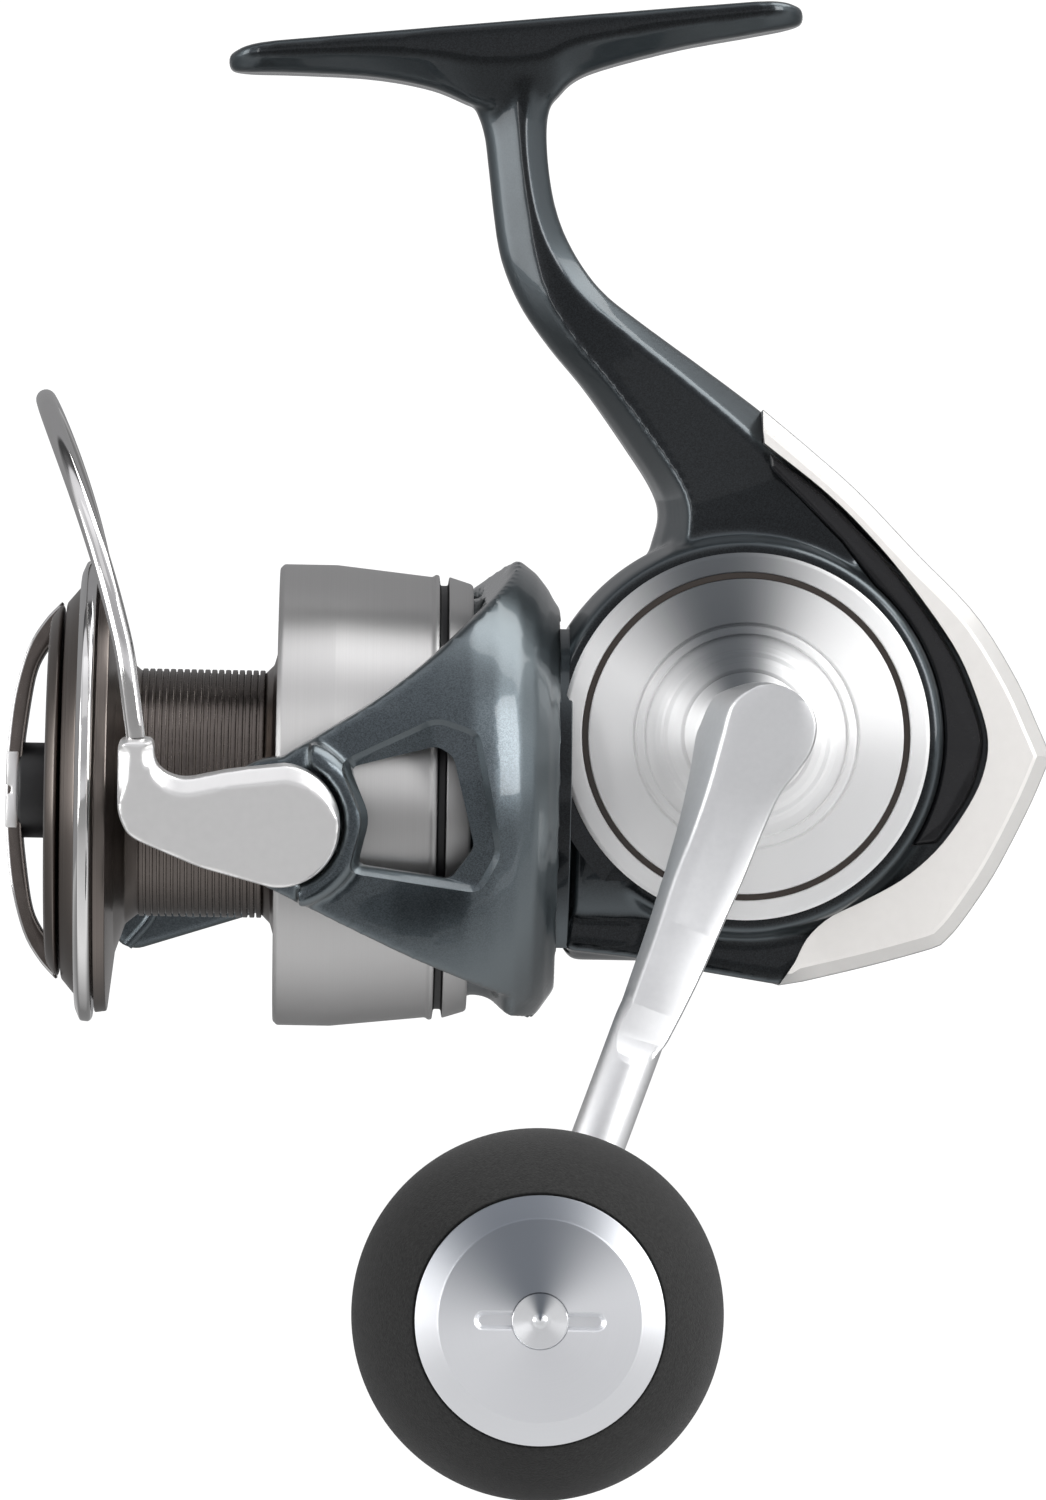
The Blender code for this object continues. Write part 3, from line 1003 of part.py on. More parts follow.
def build_spool():
    """The spool with its lip ring, bearing and click ratchet, and the collar that it stands on."""
    seat = LIP_RADIUS - 3.0 * MM
    hub = 8.0 * MM
    bore = SHAFT_RADIUS + RUNNING_GAP
    bearing_seat = SHAFT_RADIUS + GAP + BEARING_RING + GAP
    floor = SKIRT_FRONT + FLANGE
    ring_front = LIP_BACK - LIP_WIDTH - 1.7 * MM
    outer = [(SPOOL_FRONT, DRAG_WELL + EDGE), (SPOOL_FRONT, DRAG_WELL + 3.2 * MM), (ring_front, seat),
             (LIP_BACK - 1.4 * MM, seat), (LIP_BACK - 1.4 * MM, LIP_RADIUS - 1.1 * MM),
             (LIP_BACK, LIP_RADIUS - 1.3 * MM), (LIP_BACK + 0.8 * MM, ARBOR_RADIUS + 4.7 * MM),
             (LIP_BACK + 2.0 * MM, ARBOR_RADIUS + 1.2 * MM), (LIP_BACK + 3.5 * MM, ARBOR_RADIUS),
             (SKIRT_FRONT - 1.7 * MM, ARBOR_RADIUS - 0.3 * MM),
             (SKIRT_FRONT - 0.5 * MM, ARBOR_RADIUS + 0.9 * MM),
             (SKIRT_FRONT, ARBOR_RADIUS + 2.7 * MM), (SKIRT_FRONT, LIP_RADIUS - EDGE),
             (SKIRT_FRONT + EDGE, LIP_RADIUS), (SKIRT_FRONT + 6.7 * MM, LIP_RADIUS)]
    tail = [(SKIRT_REAR - 4.2 * MM, SKIRT_REAR_RADIUS + 0.9 * MM),
            (SKIRT_REAR - 3.8 * MM, SKIRT_REAR_RADIUS + 0.4 * MM),
            (SKIRT_REAR - 3.1 * MM, SKIRT_REAR_RADIUS + 0.4 * MM),
            (SKIRT_REAR - 2.9 * MM, SKIRT_REAR_RADIUS + 0.8 * MM),
            (SKIRT_REAR, SKIRT_REAR_RADIUS)]
    inner = [(SKIRT_REAR, SKIRT_REAR_RADIUS - SKIRT_WALL), (floor, SKIRT_REAR_RADIUS - SKIRT_WALL + 0.6 * MM),
             (floor, ARBOR_RADIUS - 2.0 * MM), (WELL_FLOOR + 4.0 * MM, ARBOR_RADIUS - 2.0 * MM),
             (WELL_FLOOR + 4.0 * MM, hub), (floor, hub), (floor, bearing_seat),
             (floor - BEARING_WIDTH - GAP, bearing_seat), (floor - BEARING_WIDTH - GAP, bore),
             (WELL_FLOOR, bore), (WELL_FLOOR, DRAG_WELL)]
    turned("spool", outer + tail + inner, spool_joint, "X", DARK, ROUND)
    ring_back = LIP_BACK - 1.4 * MM - GAP
    turned("spool_lip_ring", [(ring_back, seat + GAP), (ring_back, LIP_RADIUS - 0.4 * MM),
                              (ring_back - 0.4 * MM, LIP_RADIUS), (ring_back - 1.2 * MM, LIP_RADIUS),
                              (ring_back - LIP_WIDTH, LIP_RADIUS - 1.2 * MM),
                              (ring_back - LIP_WIDTH, seat + GAP)],
           spool_joint, "X", CHROME, ROUND)
    bearing("spool_bearing", floor - BEARING_WIDTH, SHAFT_RADIUS + GAP, spool_joint, "X")
    saw = []
    valley = RATCHET_RADIUS - RATCHET_DEPTH
    for i in range(RATCHET_TEETH):
        angle = 2 * math.pi * i / RATCHET_TEETH
        back = 2 * math.pi * (i + 0.15) / RATCHET_TEETH
        saw += [(RATCHET_RADIUS * math.cos(angle), RATCHET_RADIUS * math.sin(angle)),
                (valley * math.cos(back), valley * math.sin(back))]
    start, end = floor + GAP, floor + GAP + 1.0 * MM
    ratchet = loft("click_ratchet", [[(x, y, z) for y, z in saw] for x in (start, end)], spool_joint, STEEL)
    collar_radius = SHAFT_RADIUS + 4.0 * MM
    hole = rod("ratchet_hole", start - 1.0 * MM, end + 1.0 * MM, collar_radius + GAP, spool_joint, "X", None)
    combine(ratchet, "DIFFERENCE", hole)
    ring("spool_collar", floor + GAP, floor + 2.4 * MM, SHAFT_RADIUS + GAP, collar_radius, slide_joint, "X",
         STEEL)


def build_drag():
    """The drag: washers in the spool's front well, the snap ring, and the knob that presses them."""
    bore = SHAFT_RADIUS + GAP
    place = WELL_FLOOR - GAP
    stack = [("drag_washer_inner", spool_joint, CARBON, 0.6 * MM),
             ("drag_plate_keyed", slide_joint, STEEL, 1.4 * MM),
             ("drag_washer_middle", spool_joint, CARBON, 0.6 * MM),
             ("drag_plate_eared", spool_joint, STEEL, GAP),
             ("drag_washer_outer", spool_joint, CARBON, 0.6 * MM)]
    for name, parent, finish, short in stack:
        ring(name, place, place - WASHER_THICK, bore, DRAG_WELL - short, parent, "X", finish)
        place -= WASHER_THICK + GAP
    ring("drag_snap_ring", place, place - 0.6 * MM, DRAG_WELL - 1.8 * MM, DRAG_WELL - GAP, spool_joint, "X",
         STEEL)

    base = SPOOL_FRONT - GAP
    face = base - 1.6 * MM
    top = SPOOL_FRONT - KNOB_HEIGHT
    plug = DRAG_WELL - 2.2 * MM
    knob = turned("drag_knob", [(place, 0), (place, plug), (base, plug), (base, KNOB_BASE - EDGE),
                                (base - 0.4 * MM, KNOB_BASE), (face + EDGE, KNOB_BASE - 1.2 * MM),
                                (face, KNOB_BASE - 2.0 * MM), (face, DRAG_HUB), (top + 1.6 * MM, DRAG_HUB),
                                (top + 1.6 * MM, 0)], drag_joint, "X", DARK, ROUND)
    # The grip: an arch across the base, with a window each side of the hub
    crown = [(base - EDGE, KNOB_BASE), (base - 3.6 * MM, KNOB_BASE - 4.6 * MM), (top, 3.6 * MM)]
    under = [(top + GRIP_THICK, 3.6 * MM), (face, KNOB_BASE - 8.6 * MM), (face + EDGE, KNOB_BASE - 8.0 * MM)]
    foot = [(base - EDGE, -KNOB_BASE), (face + EDGE, -KNOB_BASE + 8.0 * MM)]
    outline = crown + [(x, -z) for x, z in reversed(crown[1:])] + [foot[0]]
    outline += [foot[1]] + [(x, -z) for x, z in reversed(under[:2])] + under
    grip = plate("grip_arch", outline, -GRIP_HALF, GRIP_HALF, drag_joint, None)
    pocket = turned("spring_pocket", [(place + 1.0 * MM, 0), (place + 1.0 * MM, plug - 6.0 * MM),
                                      (base - EDGE, plug - 6.0 * MM), (base - EDGE, bore),
                                      (top + 1.5 * MM + GRIP_THICK, bore),
                                      (top + 1.5 * MM + GRIP_THICK, 0)], drag_joint, "X", None)
    shaft_end = rod("shaft_room", place + 1.0 * MM, top + 1.5 * MM, bore, drag_joint, "X", None)
    combine(knob, "UNION", grip)
    combine(knob, "DIFFERENCE", pocket, shaft_end)
    ring("drag_nut", place - GAP, place - 1.4 * MM, bore, plug - 6.0 * MM - GAP, drag_joint, "X", BRASS)


# The crank's edges, by the place along the arm: left edge, right edge, and how far the left wall leans out
CRANK_STATIONS = [(-HEAD_RADIUS, -0.4 * MM, 3.2 * MM, 0.6 * MM),
                  (-HEAD_RADIUS * 0.8, -2.3 * MM, 5.6 * MM, 1.4 * MM),
                  (-HEAD_RADIUS * 0.4, -3.5 * MM, 7.0 * MM, 2.2 * MM), (0, -3.3 * MM, 7.1 * MM, 2.4 * MM),
                  (HEAD_RADIUS * 0.5, -3.0 * MM, 6.2 * MM, 2.2 * MM),
                  (HEAD_RADIUS, -2.7 * MM, 5.6 * MM, 2.0 * MM),
                  (CRANK_LENGTH * 0.16, -2.5 * MM, 5.4 * MM, 1.8 * MM),
                  (CRANK_LENGTH * 0.26, -2.8 * MM, 5.8 * MM, 1.5 * MM),
                  (CRANK_LENGTH * 0.39, -2.8 * MM, 4.9 * MM, 1.2 * MM),
                  (CRANK_LENGTH * 0.47, -3.0 * MM, 3.9 * MM, 1.0 * MM),
                  (CRANK_LENGTH * 0.7, -3.3 * MM, 3.3 * MM, 0.8 * MM),
                  (CRANK_LENGTH * 0.88, -3.4 * MM, 3.6 * MM, 0.4 * MM),
                  (CRANK_LENGTH, -4.2 * MM, 4.2 * MM, 0.1 * MM),
                  (CRANK_LENGTH + 3.0 * MM, -3.4 * MM, 3.4 * MM, 0.1 * MM),
                  (CRANK_LENGTH + 4.6 * MM, -1.5 * MM, 1.5 * MM, 0.1 * MM)]


def crank_point(along, across, y):
    """A point of the crank by its place along the arm, across it, and along Y."""
    return (-along * math.sin(CRANK_LEAN) + across * math.cos(CRANK_LEAN), y,
            -along * math.cos(CRANK_LEAN) - across * math.sin(CRANK_LEAN))


def arm_face(along):
    """The crank arm's inner face, which runs out past the rotor's sweep."""
    share = min(1.0, max(0.0, (along - HEAD_RADIUS) / (CRANK_LENGTH * 0.83 - HEAD_RADIUS)))
    return -ARM_FACE - (ARM_END_FACE - ARM_FACE) * share * share * (3 - 2 * share)


def build_crank():
    """The screw-in crank: its spindle, collar and bowed arm, and the post that carries the knob."""
    rows = []
    for along, left, right, wall in CRANK_STATIONS:
        base = left - wall
        section = [(base, 0.15), (base + 0.8 * MM, 0.0), (right - 0.6 * MM, 0.0), (right, 0.12), (right, 0.9),
                   (right - 0.5 * MM, 1.0), (left + 0.5 * MM, 1.0), (left, 0.9)]
        face = arm_face(along)
        rows.append([crank_point(along, across, face - ARM_DEPTH * out) for across, out in section])
    arm = loft("crank_arm", rows, crank_joint, SATIN)
    post_place = tuple(knob_joint.location)
    socket = rod("spindle_socket", -ARM_FACE + 1.0 * MM, -ARM_FACE - ARM_DEPTH * 0.55, CRANK_SCREW + GAP,
                 crank_joint, "Y", None)
    eye = rod("post_eye", -ARM_END_FACE + 2.0 * MM, -ARM_END_FACE - ARM_DEPTH - 2.0 * MM, POST_RADIUS + GAP,
              crank_joint, "Y", None, SMALL_ROUND, post_place)
    combine(arm, "DIFFERENCE", socket, eye)
    rod("crank_spindle", -GEAR_BACK, -ARM_FACE - ARM_DEPTH * 0.55 + GAP, CRANK_SCREW, crank_joint, "Y", STEEL)
    wide = COLLAR_OUTER + 1.0 * MM
    narrow = COLLAR_OUTER - 0.8 * MM
    turned("crank_collar", [(-BOSS_FACE - GAP, CRANK_SCREW + GAP), (-BOSS_FACE - GAP, wide),
                            (-BOSS_FACE - 1.6 * MM, wide), (-ARM_FACE + 1.6 * MM, narrow),
                            (-ARM_FACE + GAP, narrow), (-ARM_FACE + GAP, CRANK_SCREW + GAP)],
           crank_joint, "Y", SATIN)
    face = ARM_END_FACE + ARM_DEPTH
    turned("knob_post", [(-ARM_END_FACE, 0), (-ARM_END_FACE, POST_RADIUS), (-face - GAP, POST_RADIUS),
                         (-face - GAP, POST_RADIUS + 2.2 * MM), (-KNOB_START + EDGE, POST_RADIUS + 1.6 * MM),
                         (-KNOB_START + EDGE, POST_RADIUS), (-KNOB_END + 4.6 * MM, POST_RADIUS),
                         (-KNOB_END + 4.6 * MM, 0)], crank_joint, "Y", STEEL, SMALL_ROUND, post_place)
    turned("knob_screw", [(-KNOB_END + 4.3 * MM, 0), (-KNOB_END + 4.3 * MM, POST_RADIUS + 1.8 * MM),
                          (-KNOB_END + 3.0 * MM, POST_RADIUS + 1.4 * MM), (-KNOB_END + 3.0 * MM, 0)],
           crank_joint, "Y", STEEL, SMALL_ROUND, post_place)


def build_knob():
    """The foam grip on its core, with two bearings and a slotted metal cap."""
    race = POST_RADIUS + GAP
    bore = race + BEARING_RING + GAP
    bearing("knob_bearing_inner", -KNOB_START - BEARING_WIDTH, race, knob_joint, "Y")
    bearing("knob_bearing_outer", -KNOB_END + 4.9 * MM, race, knob_joint, "Y")
    ring("knob_core", -KNOB_START, -KNOB_END + 4.6 * MM, bore, KNOB_CORE, knob_joint, "Y", NYLON)
    inner = KNOB_CORE + GAP
    cap_seat = -KNOB_END + 2.2 * MM
    crown = [(0.0, 0.46), (0.05, 0.62), (0.14, 0.80), (0.28, 0.94), (0.46, 1.0), (0.66, 0.97),
             (0.82, 0.87), (0.985, 0.69)]
    profile = [(-KNOB_START - KNOB_LENGTH * along, KNOB_RADIUS * share) for along, share in crown]
    profile += [(cap_seat, CAP_RADIUS - 1.0 * MM), (cap_seat, inner)]
    turned("knob_grip", [(-KNOB_START, inner), *profile], knob_joint, "Y", FOAM, ROUND)
    plug = CAP_RADIUS - 1.0 * MM - GAP
    front = -KNOB_END - CAP_THICK
    cap = turned("knob_cap", [(cap_seat - GAP, 0), (cap_seat - GAP, plug), (-KNOB_END, plug),
                              (-KNOB_END, CAP_RADIUS - EDGE), (-KNOB_END - EDGE, CAP_RADIUS),
                              (front + EDGE * 2, CAP_RADIUS), (front, CAP_RADIUS - 2.4 * MM), (front, 0)],
                 knob_joint, "Y", SATIN, ROUND)
    half = CAP_RADIUS * 0.51
    side = CAP_SLOT / 2
    slot = plate("cap_slot", [(-half, -side), (half, -side), (half, side), (-half, side)], front - 1.0 * MM,
                 front + 0.9 * MM, knob_joint, None)
    combine(cap, "DIFFERENCE", slot)


build_housing()
build_covers()
build_bearings()
build_pinion()
build_crank_gear()
build_cross_wind()
build_rotor()
build_arm_cover()
build_bail()
build_spool()
build_drag()
build_crank()
build_knob()
bpy.context.view_layer.update()
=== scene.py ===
"""Finished looks of the spinning reel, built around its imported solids."""

import json
import math

import bmesh
import bpy
import numpy as np
from mathutils import Matrix, Vector


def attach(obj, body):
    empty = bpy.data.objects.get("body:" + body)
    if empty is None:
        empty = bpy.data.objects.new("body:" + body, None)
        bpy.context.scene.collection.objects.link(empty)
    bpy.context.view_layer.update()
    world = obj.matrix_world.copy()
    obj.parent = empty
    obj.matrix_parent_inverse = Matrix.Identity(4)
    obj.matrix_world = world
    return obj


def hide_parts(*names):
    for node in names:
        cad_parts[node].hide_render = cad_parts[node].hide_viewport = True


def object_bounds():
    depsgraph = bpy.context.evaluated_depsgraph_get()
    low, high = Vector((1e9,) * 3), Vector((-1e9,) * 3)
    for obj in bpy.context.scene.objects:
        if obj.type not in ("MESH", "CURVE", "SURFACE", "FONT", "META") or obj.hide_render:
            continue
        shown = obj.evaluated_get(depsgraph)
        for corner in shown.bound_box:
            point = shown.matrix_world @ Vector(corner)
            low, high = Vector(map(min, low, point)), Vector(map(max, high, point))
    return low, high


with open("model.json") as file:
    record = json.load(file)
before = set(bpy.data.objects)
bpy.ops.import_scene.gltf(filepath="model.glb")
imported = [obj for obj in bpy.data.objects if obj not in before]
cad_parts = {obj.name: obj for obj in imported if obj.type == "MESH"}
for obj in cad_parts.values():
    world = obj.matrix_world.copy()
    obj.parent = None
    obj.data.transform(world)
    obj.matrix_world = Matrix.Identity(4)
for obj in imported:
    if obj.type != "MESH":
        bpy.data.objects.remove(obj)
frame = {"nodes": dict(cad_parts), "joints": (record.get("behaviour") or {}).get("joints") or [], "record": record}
solid_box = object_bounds()
MM = 0.001

# Frames of the moving bodies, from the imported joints. Shapes are drawn in millimetres in these frames.
joints = {joint["name"]: joint for joint in frame["joints"]}


def frame_of(place, x_axis, y_axis):
    """A frame, in metres, that turns millimetre points into the model's place."""
    x_axis, y_axis = Vector(x_axis).normalized(), Vector(y_axis).normalized()
    z_axis = x_axis.cross(y_axis).normalized()
    y_axis = z_axis.cross(x_axis)
    rows = Matrix((x_axis, y_axis, z_axis)).transposed().to_4x4()
    return Matrix.Translation(place) @ rows @ Matrix.Scale(MM, 4)


SPOOL_AXIS = joints["rotor_spin"]["axis"]
CRANK_AXIS = joints["crank_turn"]["axis"]
BAIL_AXIS = joints["bail_swing"]["axis"]
reel = frame_of(joints["crank_turn"]["pos_m"], SPOOL_AXIS, CRANK_AXIS)
spool_line = frame_of(joints["rotor_spin"]["pos_m"], SPOOL_AXIS, CRANK_AXIS)
rotor_line = frame_of(joints["rotor_spin"]["pos_m"], SPOOL_AXIS, BAIL_AXIS)
PIVOT_ALONG = -54.0
pivot_line = rotor_line @ Matrix.Translation((PIVOT_ALONG, 0, 0))
bail_line = frame_of(joints["bail_swing"]["pos_m"], SPOOL_AXIS, BAIL_AXIS)
knob_line = frame_of(joints["knob_spin"]["pos_m"], SPOOL_AXIS, CRANK_AXIS)
ROLLER_AXIS = joints["roller_spin"]["axis"]
roller_line = frame_of(joints["roller_spin"]["pos_m"], ROLLER_AXIS, BAIL_AXIS)
seat = Matrix.Scale(MM, 4)
THROUGH = 40.0  # half the depth of a cutter that goes right through the reel
SHARP = 35  # degrees past which an edge stays sharp, or is bevelled


# Mesh tools
def make(name, bm, place, smooth_angle=SHARP):
    """A mesh object at the origin, with its place in its mesh and smooth shading up to an angle."""
    bm.transform(place)
    bmesh.ops.remove_doubles(bm, verts=bm.verts, dist=1e-7)
    bmesh.ops.recalc_face_normals(bm, faces=bm.faces)
    mesh = bpy.data.meshes.new(name)
    bm.to_mesh(mesh)
    bm.free()
    piece = bpy.data.objects.new(name, mesh)
    bpy.context.scene.collection.objects.link(piece)
    shade(piece, smooth_angle)
    return piece


def shade(piece, angle):
    """Smooth shading, with edges kept sharp past an angle."""
    bm = bmesh.new()
    bm.from_mesh(piece.data)
    for face in bm.faces:
        face.smooth = True
    limit = math.radians(angle)
    for edge in bm.edges:
        edge.smooth = len(edge.link_faces) != 2 or edge.calc_face_angle(0) < limit
    bm.to_mesh(piece.data)
    bm.free()
    return piece


def rounded(points, radius, steps, closed):
    """Corners of a line replaced by small arcs."""
    points = [np.array(p, float) for p in points]
    count = len(points)
    out = []
    for i, corner in enumerate(points):
        if not closed and i in (0, count - 1):
            out.append(tuple(corner))
            continue
        before, after = points[i - 1] - corner, points[(i + 1) % count] - corner
        reach = min(radius, 0.45 * np.linalg.norm(before), 0.45 * np.linalg.norm(after))
        first = corner + before / np.linalg.norm(before) * reach
        last = corner + after / np.linalg.norm(after) * reach
        for step in range(steps + 1):
            share = step / steps
            out.append(tuple((1 - share) ** 2 * first + 2 * share * (1 - share) * corner + share ** 2 * last))
    return out


def flowing(points, count):
    """A smooth curve through points, as rows of numbers."""
    points = np.array(points, float)
    places = np.concatenate([[0], np.cumsum(np.linalg.norm(np.diff(points, axis=0), axis=1) ** 0.5)])
    padded = np.vstack([2 * points[0] - points[1], points, 2 * points[-1] - points[-2]])
    out = []
    for place in np.linspace(0, places[-1], count):
        i = min(int(np.searchsorted(places, place, "right")) - 1, len(points) - 2)
        t = (place - places[i]) / (places[i + 1] - places[i])
        a, b, c, d = padded[i:i + 4]
        out.append(0.5 * (2 * b + (c - a) * t + (2 * a - 5 * b + 4 * c - d) * t * t
                          + (3 * b - a - 3 * c + d) * t ** 3))
    return np.array(out)


def curve(points, count):
    """A smooth curve through flat points, as a list of points."""
    return [tuple(point) for point in flowing(points, count)]


def turned(name, profile, place, axis="X", steps=144, corner=0.25):
    """Turn (along, radius) points about an axis. The map's U goes round, its V along the line in mm."""
    ring = min(radius for _, radius in profile) > 1e-6
    line = rounded(profile, corner, 3, ring)
    bm = bmesh.new()
    uv = bm.loops.layers.uv.new("turning")
    lengths = np.concatenate([[0], np.cumsum([math.dist(p, q) for p, q in zip(line, line[1:] + line[:1])])])
    rows = []
    for along, radius in line:
        row = []
        for step in range(steps):
            angle = 2 * math.pi * step / steps
            around = (radius * math.cos(angle), radius * math.sin(angle))
            row.append(bm.verts.new((along, *around) if axis == "X" else (around[0], along, around[1])))
        rows.append(row)
    pairs = list(zip(rows, rows[1:] + rows[:1]))
    for index, (lower, upper) in enumerate(pairs if ring else pairs[:-1]):
        for step in range(steps):
            after = (step + 1) % steps
            face = bm.faces.new((lower[step], lower[after], upper[after], upper[step]))
            spots = [(step, index), (step + 1, index), (step + 1, index + 1), (step, index + 1)]
            for loop, (turn, along) in zip(face.loops, spots):
                loop[uv].uv = (turn / steps, lengths[along])
    return make(name, bm, place)


def lofted(name, sections, place, smooth_angle=SHARP):
    """Skin a row of closed sections with the same number of points."""
    bm = bmesh.new()
    rows = [[bm.verts.new(tuple(point)) for point in section] for section in sections]
    for lower, upper in zip(rows, rows[1:]):
        for i in range(len(lower)):
            j = (i + 1) % len(lower)
            bm.faces.new((lower[i], lower[j], upper[j], upper[i]))
    bm.faces.new(rows[0][::-1])
    bm.faces.new(rows[-1])
    return make(name, bm, place, smooth_angle)


def slab(name, outline, low, high, place):
    """A flat outline in a frame's XZ plane, from low to high along Y."""
    return lofted(name, [[(x, y, z) for x, z in outline] for y in (low, high)], place)


def applied(piece):
    """Turn a piece's modifiers into plain mesh."""
    bpy.context.view_layer.update()
    graph = bpy.context.evaluated_depsgraph_get()
    mesh = bpy.data.meshes.new_from_object(piece.evaluated_get(graph))
    piece.modifiers.clear()
    old = piece.data
    piece.data = mesh
    bpy.data.meshes.remove(old)
    return piece


def softened(piece, width, segments=3):
    """Round a piece's sharp edges, by a width in mm."""
    bevel = piece.modifiers.new("edges", "BEVEL")
    bevel.width = width * MM
    bevel.segments = segments
    bevel.limit_method = "ANGLE"
    bevel.angle_limit = math.radians(SHARP)
    bevel.harden_normals = False
    return shade(applied(piece), 40)


def carved(piece, operation, *tools):
    """Join, cut or trim a piece with other shapes, which are used up."""
    for tool in tools:
        step = piece.modifiers.new("cut", "BOOLEAN")
        step.operation = operation
        step.object = tool
        step.solver = "MANIFOLD"
    applied(piece)
    for tool in tools:
        mesh = tool.data
        bpy.data.objects.remove(tool, do_unlink=True)
        bpy.data.meshes.remove(mesh)
    return piece


def cast(piece, voxel, passes):
    """Melt a piece's shapes into one skin, as a casting, and ease its edges."""
    remesh = piece.modifiers.new("skin", "REMESH")
    remesh.mode = "VOXEL"
    remesh.voxel_size = voxel * MM
    smooth = piece.modifiers.new("ease", "SMOOTH")
    smooth.factor = 0.5
    smooth.iterations = passes
    return applied(piece)


def arc(x, z, radius, start, end, count):
    """Points of a circle, by degrees."""
    angles = [math.radians(start + (end - start) * i / count) for i in range(count + 1)]
    return [(x + radius * math.cos(a), z + radius * math.sin(a)) for a in angles]


def smooth_step(value, start, end):
    """From 0 to 1 between two values, easy at both ends."""
    share = min(1.0, max(0.0, (value - start) / (end - start)))
    return share * share * (3 - 2 * share)


def grown(outline, distance):
    """A closed outline pushed outwards."""
    points = np.array(outline, float)
    before, after = np.roll(points, 1, axis=0), np.roll(points, -1, axis=0)
    area = np.sum(points[:, 0] * after[:, 1] - after[:, 0] * points[:, 1])
    side = math.copysign(1, area)
    first, second = points - before, after - points
    first /= np.linalg.norm(first, axis=1)[:, None]
    second /= np.linalg.norm(second, axis=1)[:, None]
    normal = side * np.column_stack([first[:, 1] + second[:, 1], -first[:, 0] - second[:, 0]])
    normal /= np.linalg.norm(normal, axis=1)[:, None]
    facing = np.sum(normal * side * np.column_stack([first[:, 1], -first[:, 0]]), axis=1)
    return [tuple(p) for p in points + normal * (distance / np.maximum(0.4, facing))[:, None]]


def wire(name, points, radius, place, sides=24):
    """A round wire along a smooth line."""
    points = np.array(points, float)
    along = np.gradient(points, axis=0)
    along /= np.linalg.norm(along, axis=1)[:, None]
    normal = np.cross(along[0], (0.3, 0.9, 0.2))
    sections = []
    for point, way in zip(points, along):
        normal = normal - way * (normal @ way)
        normal /= np.linalg.norm(normal)
        other = np.cross(way, normal)
        sections.append([point + radius * (math.cos(a) * normal + math.sin(a) * other)
                         for a in np.linspace(0, 2 * math.pi, sides, endpoint=False)])
    return lofted(name, sections, place, 60)


def drawn_in(line, distance):
    """An open line moved to its right-hand side."""
    points = np.array(line, float)
    steps = np.diff(points, axis=0)
    steps /= np.linalg.norm(steps, axis=1)[:, None]
    before, after = np.vstack([steps[:1], steps]), np.vstack([steps, steps[-1:]])
    normal = np.column_stack([before[:, 1] + after[:, 1], -before[:, 0] - after[:, 0]])
    normal /= np.linalg.norm(normal, axis=1)[:, None]
    facing = np.sum(normal * np.column_stack([before[:, 1], -before[:, 0]]), axis=1)
    return [tuple(point) for point in points + normal * (distance / facing)[:, None]]


def finish(piece, material, body, slot, *nodes):
    """Give a piece its material, its body and the nodes it stands for."""
    piece.data.materials.clear()
    piece.data.materials.append(material)
    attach(piece, body)
    if nodes:
        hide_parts(*nodes)
    return piece


# Shader groups and finishes
def group(name, inputs, outputs, kind="ShaderNodeTree"):
    """An empty node group with named sockets."""
    tree = bpy.data.node_groups.new(name, kind)
    for label, socket_kind, value in inputs:
        socket = tree.interface.new_socket(label, in_out="INPUT", socket_type=socket_kind)
        if value is not None:
            socket.default_value = value
    for label, socket_kind in outputs:
        tree.interface.new_socket(label, in_out="OUTPUT", socket_type=socket_kind)
    return tree, tree.nodes.new("NodeGroupInput"), tree.nodes.new("NodeGroupOutput")


def node(tree, kind, links=None, **settings):
    """A node with its settings and its inputs, by name or number, from values or other sockets."""
    made = tree.nodes.new(kind)
    for key, value in settings.items():
        setattr(made, key, value)
    for key, value in (links or {}).items():
        if isinstance(value, bpy.types.NodeSocket):
            tree.links.new(value, made.inputs[key])
        else:
            made.inputs[key].default_value = value
    return made


def maths(tree, operation, *values):
    """One sum on values or sockets."""
    return node(tree, "ShaderNodeMath", dict(enumerate(values)), operation=operation).outputs[0]


def spread(tree, value, low, high):
    """A 0 to 1 value spread over a range."""
    return node(tree, "ShaderNodeMapRange", {"Value": value, "To Min": low, "To Max": high}).outputs["Result"]


def surface_grain_group():
    """Fine grain: a mask, and a height, from noise at two sizes."""
    tree, start, end = group("surface_grain", [("Size", "NodeSocketFloat", 900.0),
                                               ("Fine", "NodeSocketFloat", 4000.0)],
                             [("Mask", "NodeSocketFloat"), ("Height", "NodeSocketFloat")])
    where = node(tree, "ShaderNodeTexCoord").outputs["Object"]
    coarse = node(tree, "ShaderNodeTexNoise",
                  {"Vector": where, "Scale": start.outputs["Size"], "Detail": 3.0})
    fine = node(tree, "ShaderNodeTexNoise", {"Vector": where, "Scale": start.outputs["Fine"], "Detail": 2.0})
    tree.links.new(coarse.outputs["Fac"], end.inputs["Mask"])
    tree.links.new(fine.outputs["Fac"], end.inputs["Height"])
    return tree


